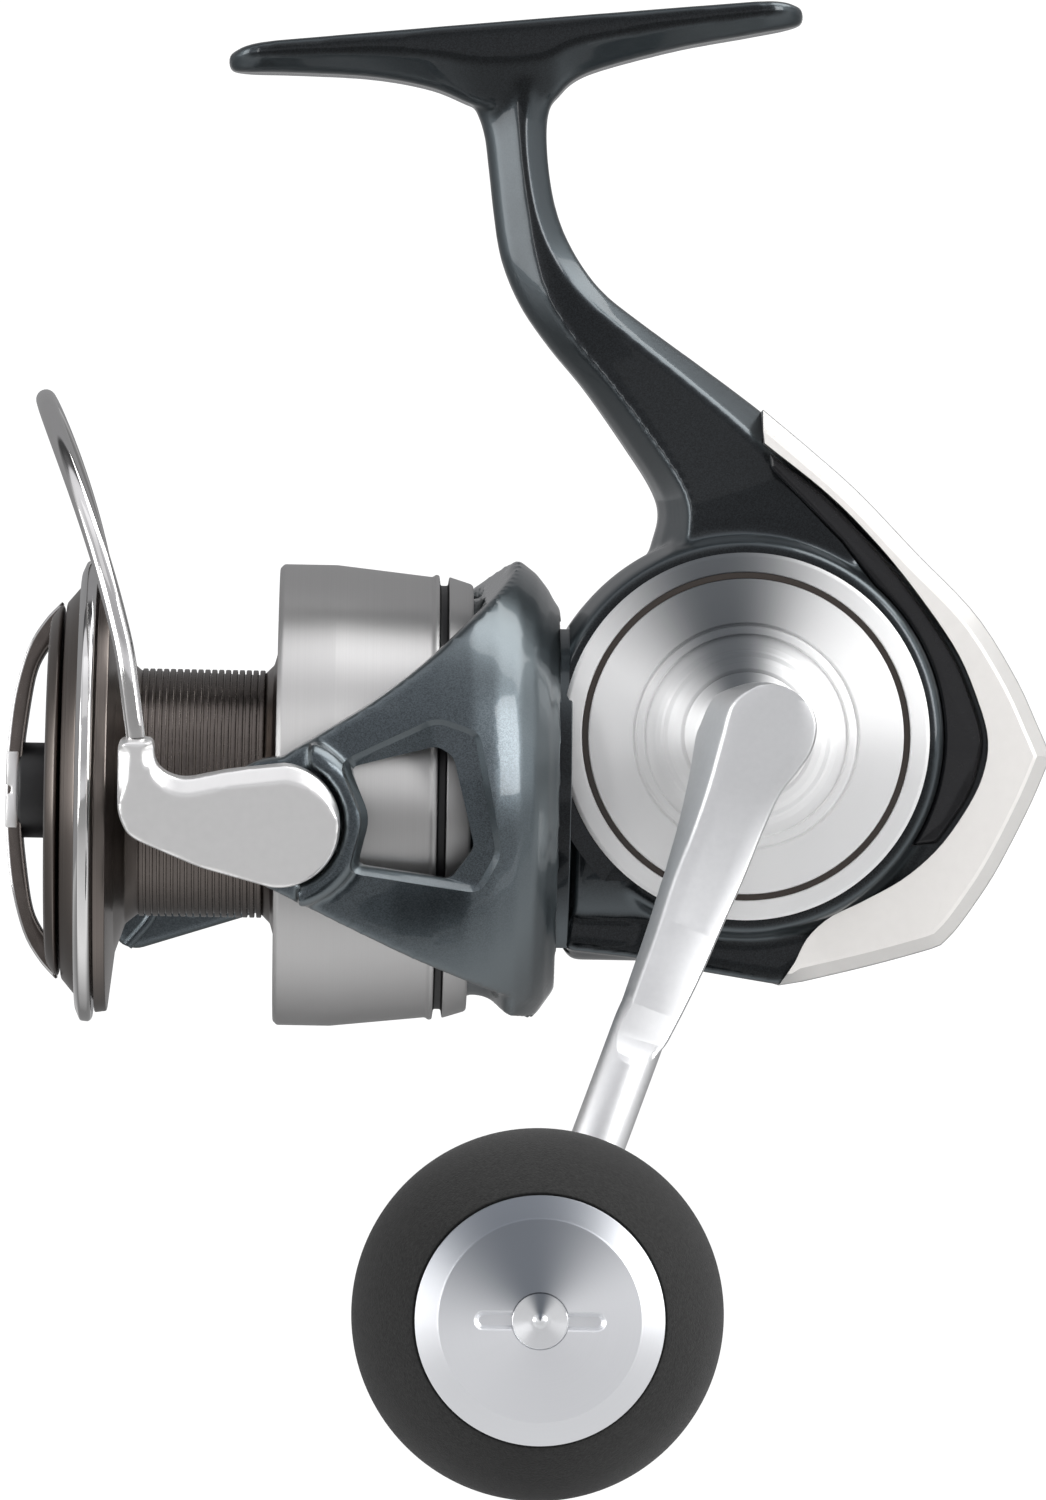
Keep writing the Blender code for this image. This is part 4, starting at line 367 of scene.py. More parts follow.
def lathe_group():
    """Turning marks: fine rings along the V of a turned piece, as a mask and a height."""
    tree, start, end = group("turning_marks", [("Pitch", "NodeSocketFloat", 6.0)],
                             [("Mask", "NodeSocketFloat"), ("Height", "NodeSocketFloat")])
    where = node(tree, "ShaderNodeUVMap", uv_map="turning").outputs["UV"]
    parts = node(tree, "ShaderNodeSeparateXYZ", {0: where})
    around = maths(tree, "MULTIPLY", parts.outputs["X"], 1.5)
    along = maths(tree, "MULTIPLY", parts.outputs["Y"], start.outputs["Pitch"])
    spot = node(tree, "ShaderNodeCombineXYZ", {"X": around, "Y": along}).outputs[0]
    marks = node(tree, "ShaderNodeTexNoise", {"Vector": spot, "Scale": 1.0, "Detail": 4.0, "Roughness": 0.7})
    tree.links.new(marks.outputs["Fac"], end.inputs["Mask"])
    tree.links.new(marks.outputs["Fac"], end.inputs["Height"])
    return tree


GRAIN = surface_grain_group()
LATHE = lathe_group()


def colour_mix(tree, share, first, second):
    """Mix two colours by a value."""
    mixed = tree.nodes.new("ShaderNodeMix")
    mixed.data_type = "RGBA"
    for socket, value in zip((mixed.inputs[0], mixed.inputs[6], mixed.inputs[7]), (share, first, second)):
        if isinstance(value, bpy.types.NodeSocket):
            tree.links.new(value, socket)
        else:
            socket.default_value = value
    return mixed.outputs[2]


def material(name, settings):
    """A Principled material with constant settings on its sockets."""
    made = bpy.data.materials.new(name)
    made.use_nodes = True
    shader = made.node_tree.nodes["Principled BSDF"]
    for key, value in settings.items():
        shader.inputs[key].default_value = value
    return made, made.node_tree, shader


def bumped(tree, shader, height, strength, distance):
    """Feed a height to the shader's normal."""
    bump = node(tree, "ShaderNodeBump", {"Strength": strength, "Distance": distance * MM, "Height": height})
    tree.links.new(bump.outputs["Normal"], shader.inputs["Normal"])


def turned_away(tree, colour, painted_grazing_tone, low, high):
    """A colour that passes to a painted tone where the surface turns away from the eye: painted sheen where the
    tone is lighter, painted shade where it is darker.
    """
    facing = node(tree, "ShaderNodeLayerWeight", {"Blend": 0.5}).outputs["Facing"]
    share = node(tree, "ShaderNodeMapRange", {"Value": facing, "From Min": low, "From Max": high},
                 interpolation_type="SMOOTHSTEP").outputs["Result"]
    return colour_mix(tree, share, colour, (*painted_grazing_tone, 1))


def grained(name, dark, light, rough, size, fine, strength, distance, painted_grazing_tone=None, **settings):
    """A finish with fine grain in its colour, roughness and height, and, if given, a painted tone where it turns
    away from the eye.
    """
    made, tree, shader = material(name, settings)
    grain = node(tree, "ShaderNodeGroup", node_tree=GRAIN)
    grain.inputs["Size"].default_value = size
    grain.inputs["Fine"].default_value = fine
    colour = colour_mix(tree, grain.outputs["Mask"], (*dark, 1), (*light, 1))
    if painted_grazing_tone:
        colour = turned_away(tree, colour, painted_grazing_tone, 0.12, 0.55)
    tree.links.new(colour, shader.inputs["Base Color"])
    tree.links.new(spread(tree, grain.outputs["Mask"], *rough), shader.inputs["Roughness"])
    bumped(tree, shader, grain.outputs["Height"], strength, distance)
    return made


def lathed(name, dark, light, rough, pitch, strength, distance, metal=0.0, streak=0.0, painted_reflection_wedge=None):
    """A turned finish with rings, a highlight that follows the turning and, if asked, a painted dark reflection in
    one sector of the turn.
    """
    made, tree, shader = material(name, {"Metallic": metal, "Anisotropic": streak,
                                         "Anisotropic Rotation": 0.25 if streak else 0.0})
    marks = node(tree, "ShaderNodeGroup", node_tree=LATHE)
    marks.inputs["Pitch"].default_value = pitch
    colour = colour_mix(tree, marks.outputs["Mask"], (*dark, 1), (*light, 1))
    # One sector of the turn is painted in a darker tone: a painted reflection fixed to the piece.
    if painted_reflection_wedge:
        centre, width, tone = painted_reflection_wedge
        turning = node(tree, "ShaderNodeUVMap", uv_map="turning").outputs["UV"]
        where = node(tree, "ShaderNodeSeparateXYZ", {0: turning})
        turn = maths(tree, "FRACT", maths(tree, "SUBTRACT", where.outputs["X"], centre - 0.5))
        off = maths(tree, "ABSOLUTE", maths(tree, "SUBTRACT", turn, 0.5))
        share = node(tree, "ShaderNodeMapRange", {"Value": off, "From Min": 0.0, "From Max": width},
                     interpolation_type="SMOOTHERSTEP")
        colour = colour_mix(tree, share.outputs["Result"], (*tone, 1), colour)
    tree.links.new(colour, shader.inputs["Base Color"])
    tree.links.new(spread(tree, marks.outputs["Mask"], *rough), shader.inputs["Roughness"])
    bumped(tree, shader, marks.outputs["Height"], strength, distance)
    tangent = node(tree, "ShaderNodeTangent", direction_type="UV_MAP", uv_map="turning")
    tree.links.new(tangent.outputs["Tangent"], shader.inputs["Tangent"])
    return made


def flake_paint(name, dark, light, painted_grazing_sheen, **settings):
    """Metallic paint: small flakes under a clear coat, dark face on and lighter where it turns away, a painted
    sheen.
    """
    made, tree, shader = material(name, settings)
    where = node(tree, "ShaderNodeTexCoord").outputs["Object"]
    cells = node(tree, "ShaderNodeTexVoronoi", {"Vector": where, "Scale": 9000.0})
    tone = node(tree, "ShaderNodeSeparateColor", {"Color": cells.outputs["Color"]}).outputs["Red"]
    flakes = colour_mix(tree, tone, (*dark, 1), (*light, 1))
    tree.links.new(turned_away(tree, flakes, painted_grazing_sheen, 0.03, 0.40), shader.inputs["Base Color"])
    grain = node(tree, "ShaderNodeGroup", node_tree=GRAIN)
    tree.links.new(spread(tree, grain.outputs["Mask"], 0.28, 0.34), shader.inputs["Roughness"])
    bumped(tree, shader, tone, 0.04, 0.005)
    return made


CLEAR_COAT = {"Metallic": 0.9, "Coat Weight": 0.9, "Coat Roughness": 0.05, "Coat IOR": 1.33}
METAL = {"Metallic": 1.0}
# Slate paints whose colour lightens where the surface turns away from the eye: a painted sheen.
SLATE = flake_paint("slate_paint", (0.006, 0.0074, 0.0086), (0.018, 0.0215, 0.0245), (0.080, 0.096, 0.105),
                    **CLEAR_COAT)
# A lighter copy of the same slate paint for the rotor and bail arm: painted light, so they read as more brightly
# lit than the housing.
ROTOR_SLATE_LIT_COPY = flake_paint("slate_paint_lit_copy", (0.050, 0.061, 0.069), (0.098, 0.118, 0.132),
                          (0.120, 0.142, 0.152), **CLEAR_COAT)
# The pearl paint greys where it turns away from the eye: painted shade on the cover's bevels.
PEARL = grained("pearl_paint", (0.74, 0.72, 0.69), (0.79, 0.77, 0.74), (0.30, 0.38), size=700.0, fine=3000.0,
                strength=0.03, distance=0.01, painted_grazing_tone=(0.30, 0.30, 0.295),
                **{"Metallic": 0.2, "Coat Weight": 0.4, "Coat Roughness": 0.12})
GLOSS_BLACK = grained("gloss_black", (0.006, 0.006, 0.007), (0.012, 0.012, 0.013), (0.06, 0.12), size=300.0,
                      fine=2000.0, strength=0.01, distance=0.01,
                      **{"Specular IOR Level": 0.25, "Coat Weight": 0.2, "Coat Roughness": 0.03})
# A painted dark reflection in one sector of the turn, at the top of the side plate.
MIRROR_TURNED = lathed("mirror_turned", (0.94, 0.94, 0.935), (0.98, 0.98, 0.975), (0.54, 0.60), pitch=9.0,
                       strength=0.03, distance=0.003, metal=0.65, streak=0.95,
                       painted_reflection_wedge=(0.285, 0.16, (0.14, 0.15, 0.16)))
GROOVE_BROWN = lathed("groove_brown", (0.020, 0.014, 0.011), (0.035, 0.026, 0.020), (0.30, 0.40), pitch=8.0,
                      strength=0.05, distance=0.004)
SKIRT_SILVER = lathed("skirt_silver", (0.47, 0.465, 0.46), (0.58, 0.575, 0.57), (0.38, 0.46), pitch=14.0,
                      strength=0.10, distance=0.006, metal=0.85, streak=0.9)
DARK_TITANIUM = lathed("dark_titanium", (0.135, 0.116, 0.105), (0.215, 0.190, 0.174), (0.24, 0.34), pitch=8.0,
                       strength=0.06, distance=0.006, metal=1.0, streak=0.4)
TITANIUM_PLAIN = grained("titanium_plain", (0.105, 0.090, 0.082), (0.150, 0.132, 0.122), (0.22, 0.32),
                         size=900.0, fine=4000.0, strength=0.03, distance=0.01, **METAL)
CHROME = grained("polished_steel", (0.70, 0.692, 0.685), (0.76, 0.752, 0.745), (0.05, 0.11), size=400.0,
                 fine=2500.0, strength=0.01, distance=0.005, **METAL)
SATIN = grained("satin_aluminium", (0.76, 0.765, 0.77), (0.82, 0.825, 0.83), (0.40, 0.46), size=1500.0,
                fine=7000.0, strength=0.10, distance=0.010, **METAL)
NICKEL = grained("satin_nickel", (0.92, 0.915, 0.905), (0.96, 0.955, 0.945), (0.34, 0.40), size=1200.0,
                 fine=6000.0, strength=0.06, distance=0.008, **METAL)
# A painted dark reflection in one sector of the turn of the bright cap edges and insert.
CAP_BRIGHT = lathed("cap_bright", (0.88, 0.89, 0.90), (0.94, 0.95, 0.96), (0.34, 0.40), pitch=10.0,
                    strength=0.03, distance=0.003, metal=1.0, streak=0.8,
                    painted_reflection_wedge=(0.25, 0.14, (0.22, 0.24, 0.27)))
# A broad painted dark reflection in one sector of the turn of the knob's satin face.
CAP_SATIN = lathed("cap_satin", (0.80, 0.81, 0.83), (0.86, 0.87, 0.89), (0.44, 0.50), pitch=14.0,
                   strength=0.02, distance=0.002, metal=1.0, streak=0.35,
                   painted_reflection_wedge=(0.29, 0.28, (0.24, 0.26, 0.29)))
FOAM = grained("foam", (0.002, 0.002, 0.002), (0.034, 0.034, 0.033), (0.82, 0.95), size=2600.0, fine=5200.0,
               strength=0.55, distance=0.12, **{"Specular IOR Level": 0.25, "Sheen Weight": 0.08})
HUB_BLACK = grained("hub_black", (0.008, 0.008, 0.009), (0.016, 0.016, 0.017), (0.35, 0.50), size=900.0,
                    fine=3000.0, strength=0.05, distance=0.01)
BEARING_STEEL = grained("bearing_steel", (0.42, 0.42, 0.43), (0.56, 0.56, 0.57), (0.20, 0.32), size=500.0,
                        fine=2500.0, strength=0.03, distance=0.01, **METAL)
BRASS = grained("gear_brass", (0.50, 0.36, 0.14), (0.64, 0.48, 0.22), (0.24, 0.36), size=500.0, fine=2500.0,
                strength=0.04, distance=0.01, **METAL)
CARBON = grained("friction_disc", (0.010, 0.010, 0.011), (0.032, 0.032, 0.034), (0.50, 0.70), size=1400.0,
                 fine=3500.0, strength=0.2, distance=0.03)
NYLON = grained("moulded_nylon", (0.020, 0.020, 0.020), (0.034, 0.034, 0.033), (0.42, 0.55), size=800.0,
                fine=3000.0, strength=0.06, distance=0.02)

INNER_FINISH = {"bearing_steel": BEARING_STEEL, "brass": BRASS, "felt_carbon": CARBON, "nylon": NYLON,
                "slate_paint": SLATE, "pearl_paint": PEARL, "gloss_black": GLOSS_BLACK, "foam": FOAM,
                "turned_aluminium": SATIN, "satin_aluminium": SATIN, "polished_steel": CHROME,
                "dark_titanium": BEARING_STEEL}
for part in frame["record"]["subparts"]:
    for place in frame["nodes"][part["node"]].material_slots:
        place.material = INNER_FINISH[part["material_slot"]]

# Outlines that pieces share, in reel millimetres
NEAR_FACE = 16.2
FAR_FACE = 16.8
NOSE_FRONT = -20.6
COVER_TOP = curve([(1.5, 38.2), (7.3, 33.5), (13.0, 28.6), (19.8, 21.7), (26.7, 14.8), (31.5, 7.5),
                   (34.2, 1.9), (35.8, -1.6)], 28)
COVER_REAR = curve([(35.8, -1.6), (33.4, -7.5), (29.8, -14.8), (27.2, -19.0), (25.0, -22.1), (23.6, -23.6)],
                   20)
COVER_BASE = curve([(23.6, -23.6), (22.3, -24.3), (14.8, -26.5), (5.3, -28.9)], 12)
COVER_OUTER = [*COVER_TOP, *COVER_REAR[1:], *COVER_BASE[1:]]
COVER_INNER = [(4.5, -28.9)] + curve([(6.3, -26.1), (7.7, -23.3), (10.2, -20.9), (14.1, -18.9), (18.9, -16.1),
                                      (23.0, -12.3), (26.3, -7.4), (27.9, -3.6), (28.3, 0.2), (27.1, 4.6),
                                      (24.4, 10.6), (19.3, 17.7), (14.5, 23.3), (9.1, 28.5), (1.7, 34.2)], 60)
INLAY = (arc(0, 0, 23.2, -32, 50, 30) + [(10.9, 22.9), (9.9, 23.9), (5.8, 28.1), (2.5, 31.3), (2.3, 33.2)]
         + curve([(8.8, 28.2), (14.1, 23.0), (18.9, 17.5), (23.9, 10.4), (26.5, 4.6), (27.7, 0.3),
                  (27.2, -3.6), (25.8, -7.2), (22.6, -12.0)], 40))
WIND_ROOM = [(0, 2.5), (19.8, 2.5), (25.8, -3.5), (25.8, -15.1), (19.8, -21.1), (0, -21.1)]
SLIDER_ROOM = [(0, -19.6), (24.3, -19.6), (24.3, 1.0), (0, 1.0)]


# Housing and its covers
HOUSING_SKIN = 0.42  # size of the cells that a casting's skin is made from
ROTOR_SKIN = 0.48
LEVER_SKIN = 0.2


def neck_shape():
    """The stem and neck: sections with a front bevel, flat sides and a rear bevel."""
    stations = [((-35.5, 78.0), (-19.5, 80.6), 5.6, 0.40, 0.56),
                ((-33.2, 74.6), (-21.8, 77.2), 5.2, 0.50, 0.60),
                ((-31.6, 71.0), (-23.9, 73.4), 4.8, 0.56, 0.63),
                ((-30.9, 66.5), (-24.0, 68.0), 4.7, 0.58, 0.64),
                ((-30.2, 61.1), (-22.9, 61.8), 4.7, 0.58, 0.65),
                ((-29.2, 55.7), (-20.8, 56.9), 4.8, 0.50, 0.68),
                ((-26.9, 50.4), (-17.3, 52.2), 5.2, 0.36, 0.72),
                ((-23.4, 45.5), (-12.0, 48.1), 6.0, 0.26, 0.75),
                ((-19.2, 40.6), (-5.8, 43.7), 7.4, 0.21, 0.76),
                ((-14.6, 34.3), (1.3, 38.5), 9.4, 0.18, 0.77),
                ((-11.2, 29.2), (7.0, 33.8), 11.2, 0.16, 0.78),
                ((-10.2, 25.9), (11.5, 29.9), 12.4, 0.15, 0.80),
                ((-11.2, 21.5), (16.0, 24.0), 13.4, 0.15, 0.84),
                ((-12.0, 14.0), (18.0, 16.0), 13.8, 0.15, 0.86)]
    rows = flowing([(*front, *back, depth, first, last) for front, back, depth, first, last in stations], 56)
    sections = []
    for row in rows:
        front, back, depth, first, last = row[:2], row[2:4], row[4], row[5], row[6]
        ring = [(0.0, 0.20), (first * 0.25, 0.49), (first, 1.0), (last, 1.0), (0.5 + last / 2, 0.74),
                (1.0, 0.46)]
        ring = [(a, -d) for a, d in ring] + [(a, d) for a, d in reversed(ring)]
        spots = [(front + (back - front) * along, depth * across) for along, across in ring]
        sections.append([(spot[0], across, spot[1]) for spot, across in spots])
    return lofted("neck_shape", sections, reel)


def wind_rooms():
    """The rooms for the cross-wind gear and its slider."""
    return slab("wind_room", WIND_ROOM, -4.0, 9.2, reel), slab("slider_room", SLIDER_ROOM, -3.2, 5.0, reel)


def foot_shape():
    """The foot, in the seat's frame: a flat seat over sides that bevel in to a rounded keel."""
    half, tip = 33.9, 5.2
    under = flowing([(-half, -2.2), (-33.2, -3.1), (-26.0, -3.9), (-17.2, -5.1), (-10.2, -7.0), (-5.0, -9.6),
                     (0.0, -10.4), (3.6, -9.6), (6.1, -7.5), (9.8, -6.2), (18.9, -4.6), (27.0, -3.8),
                     (33.2, -3.1), (half, -2.2)], 61)
    sections = []
    for x, depth in under:
        end = max(0.0, (abs(x) - (half - tip)) / tip)
        width = (6.5 - 1.3 * (abs(x) / half) ** 2) * math.sqrt(max(0.12, 1 - 0.88 * end * end))
        keel = width * (0.56 + 0.12 * (abs(x) / half))
        top = -1.1 * end ** 3
        shape = [(width - 0.5, top), (width, top - 0.5), (width, depth * 0.46), (keel, depth * 0.93),
                 (keel - 0.9, depth)]
        ring = [(x, -y, z) for y, z in shape] + [(x, y, z) for y, z in reversed(shape)]
        sections.append(ring)
    return lofted("foot_shape", sections, seat)


def drum_shapes():
    """The drum, nose, chin and spine that make the housing."""
    drum = turned("housing", [(-NEAR_FACE, 0), (-NEAR_FACE, 21.9), (-NEAR_FACE + 0.5, 22.7),
                              (-NEAR_FACE + 1.6, 23.1), (-NEAR_FACE + 6.0, 24.2), (8.0, 24.2), (12.5, 22.0),
                              (15.5, 17.0), (FAR_FACE, 11.0), (FAR_FACE, 0)], reel, "Y", 160, corner=0.8)
    nose = turned("nose_shape", [(NOSE_FRONT, 0), (NOSE_FRONT, 17.6), (-19.4, 18.8), (-4.0, 18.8),
                                 (4.0, 12.8), (4.0, 0)], spool_line)
    chin_edge = rounded([(NOSE_FRONT, -14.0), (NOSE_FRONT, -25.2), (-12.5, -26.0), (-4.2, -27.5),
                         (5.0, -28.9), (16.0, -20.0), (8.0, -10.0)], 0.8, 3, True)
    chin = slab("chin_shape", chin_edge, -13.0, 13.0, reel)
    softened(chin, 1.4)
    spine = slab("spine_shape", [(-2.0, 22.0), (9.0, 28.0), (19.5, 18.0), (29.4, 6.0), (29.4, -8.0),
                                 (20.4, -18.0), (9.0, -22.0), (-2.0, -22.0)], -12.9, 12.9, reel)
    return drum, nose, chin, spine


def housing():
    """The painted housing, melted into one skin and then cut for its covers, gears and bearings."""
    body, *rest = drum_shapes()
    carved(body, "UNION", *rest, neck_shape(), foot_shape())
    cast(body, HOUSING_SKIN, 12)
    front = turned("rotor_room", [(-80.0, 0), (-80.0, 60.0), (NOSE_FRONT, 60.0), (NOSE_FRONT, 0)], spool_line,
                   corner=0)
    keep = slab("front_keep", [(-80.0, 14.5), (NOSE_FRONT, 14.5), (NOSE_FRONT, -THROUGH), (-80.0, -THROUGH)],
                -THROUGH, THROUGH, reel)
    carved(front, "INTERSECT", keep)
    room = drawn_in(COVER_OUTER, -1.0)
    cover_room = slab("cover_room", room + grown(COVER_INNER + [(20.0, 0.0)], 0.12)[:-1], -14.6, 14.6, reel)
    behind = slab("behind", room + [(60.0, -30.0), (60.0, 39.0)], -THROUGH, THROUGH, reel)
    carved(body, "DIFFERENCE", front, cover_room, behind)
    for low, high in ((-22.0, -11.5), (11.5, 22.0)):
        carved(body, "DIFFERENCE", slab("inlay_room", grown(INLAY, 0.12), low, high, reel))
    gear_room = turned("gear_room", [(-22.0, 0), (-22.0, 23.6), (-16.3, 23.6), (-16.3, 20.5), (-11.8, 20.5),
                                     (-11.8, 18.6), (9.5, 18.6), (9.5, 7.3), (13.6, 7.3), (13.6, 4.0),
                                     (16.9, 4.0), (16.9, 9.3), (21.0, 9.3), (21.0, 0)], reel, "Y", 96,
                       corner=0)
    bore = turned("pinion_bore", [(-40.0, 0), (-40.0, 12.3), (NOSE_FRONT, 12.3), (NOSE_FRONT, 7.3),
                                  (-16.8, 7.3), (-16.8, 4.9), (-9.3, 4.9), (-9.3, 0)], spool_line, "X", 64,
                  corner=0)
    carved(body, "DIFFERENCE", gear_room, *wind_rooms(), bore)
    collar = turned("clutch_collar", [(-20.3, 12.4), (-20.3, 14.4), (-31.2, 14.4), (-31.2, 12.4)], spool_line,
                    "X", 96)
    lip = turned("front_lip", [(-20.2, 19.2), (-20.2, 21.0), (-24.2, 21.0), (-24.2, 19.2)], spool_line, "X",
                 96)
    lip_keep = slab("lip_keep", [(-30.0, 12.3), (-10.0, 12.3), (-10.0, -25.0), (-30.0, -25.0)],
                    -THROUGH, THROUGH, reel)
    carved(lip, "INTERSECT", lip_keep)
    carved(body, "UNION", collar, lip)
    shade(body, 30)
    finish(body, SLATE, "body", "slate_paint", "body_frame")


def cover_section(y, inset):
    """The rear cover's side outline at one depth, its outer edge drawn in."""
    outer = drawn_in(COVER_OUTER, inset)
    outer[0] = (COVER_OUTER[0][0], COVER_OUTER[0][1] - 1.3 * inset)
    start = (COVER_INNER[0][0] + 0.55 * inset, COVER_INNER[0][1] + 0.85 * inset)
    outer[-1] = (start[0] + 0.6, start[1] + 0.1)
    return [(x, y, z) for x, z in [*outer, start, *COVER_INNER[1:]]]


def rear_trim():
    """The pearl rear cover with its bevelled edge, and the black inlays beside it."""
    levels = [(14.2, 2.0), (14.05, 1.6), (12.55, 0.12), (12.1, 0.0)]
    levels = [(-y, inset) for y, inset in levels] + levels[::-1]
    cover = lofted("rear_cover_shell", [cover_section(y, inset) for y, inset in levels], reel, 25)
    carved(cover, "DIFFERENCE", *wind_rooms())
    shade(cover, 20)
    finish(cover, PEARL, "body", "pearl_paint", "rear_cover")
    for side, label in ((-1, "near"), (1, "far")):
        low, high = sorted((side * 11.6, side * 13.4))
        inlay = slab(f"inlay_{label}", INLAY, low, high, reel)
        softened(inlay, 1.1, 5)
        finish(inlay, GLOSS_BLACK, "body", "gloss_black", f"rear_inlay_{label}")


def side_plate():
    """The turned side plate with its dark groove and stepped boss, and the cap on the far side."""
    face = [(-16.5, 21.35), (-17.2, 21.35), (-17.6, 20.95), (-17.65, 19.15), (-17.2, 19.05), (-17.2, 18.35),
            (-17.65, 18.25), (-18.1, 13.2), (-17.75, 13.05), (-17.75, 12.85), (-18.3, 12.7), (-18.6, 11.9),
            (-18.2, 11.75), (-18.9, 10.6), (-19.6, 10.0), (-20.4, 9.75), (-20.6, 9.2), (-22.2, 8.6),
            (-22.6, 8.2), (-23.0, 7.8)]
    back = [(-23.0, 5.7), (-16.5, 5.7), (-16.5, 9.0), (-12.1, 9.0), (-12.1, 10.6), (-15.0, 10.6),
            (-15.0, 18.2), (-12.1, 18.2), (-12.1, 20.2), (-16.5, 20.2)]
    plate = turned("side_plate", face + back, reel, "Y", 192, corner=0.1)
    finish(plate, MIRROR_TURNED, "body", "turned_aluminium", "engine_plate")
    band = turned("plate_band", [(-17.15, 19.05), (-17.42, 19.05), (-17.42, 18.35), (-17.15, 18.35)], reel,
                  "Y", 192, corner=0.05)
    finish(band, GROOVE_BROWN, "body", "turned_aluminium")
    cap = turned("far_cap", [(17.1, 0), (17.1, 8.4), (18.4, 8.4), (19.4, 7.2), (19.4, 5.6), (19.1, 5.2),
                             (19.1, 1.2), (18.6, 0.8), (18.6, 0)], reel, "Y", 96)
    finish(cap, CAP_BRIGHT, "body", "satin_aluminium", "far_side_cap")


# Rotor, bail, spool, crank and knobs
ARM_WINDOW = [(-45.7, 6.4), (-35.9, 8.9), (-34.0, 7.7), (-31.4, -2.7), (-34.1, -6.4), (-44.7, -4.9),
              (-43.85, 0.6)]
WINDOW_DEPTH = 1.5
BEZEL_DEPTH = 0.85
BEZEL_SLOPE = 0.7
ARM_SKIN = [(-21.9, 22.4), (-22.9, 24.6), (-24.4, 26.5), (-26.5, 28.1), (-29.0, 29.3), (-32.0, 30.2),
            (-36.0, 30.8), (-40.5, 31.0), (-62.4, 31.0)]
ARM_BEZEL = [(-47.0, 7.2), (-36.0, 12.3), (-31.0, 10.6), (-28.2, -3.4), (-30.6, -8.0), (-45.8, -5.7),
             (-44.2, 0.7)]
ROTOR_EDGE = curve([(-26.5, 28.0), (-29.9, 24.7), (-33.7, 21.4), (-37.6, 18.0), (-43.3, 13.8), (-49.0, 10.3),
                    (-53.0, 7.9)], 24)


def arm_skin(x, z):
    """The depth of the near arm's outer face at a place seen from the side."""
    radius = np.interp(-x, [-place for place, _ in ARM_SKIN], [size for _, size in ARM_SKIN])
    return -math.sqrt(radius ** 2 - z * z)


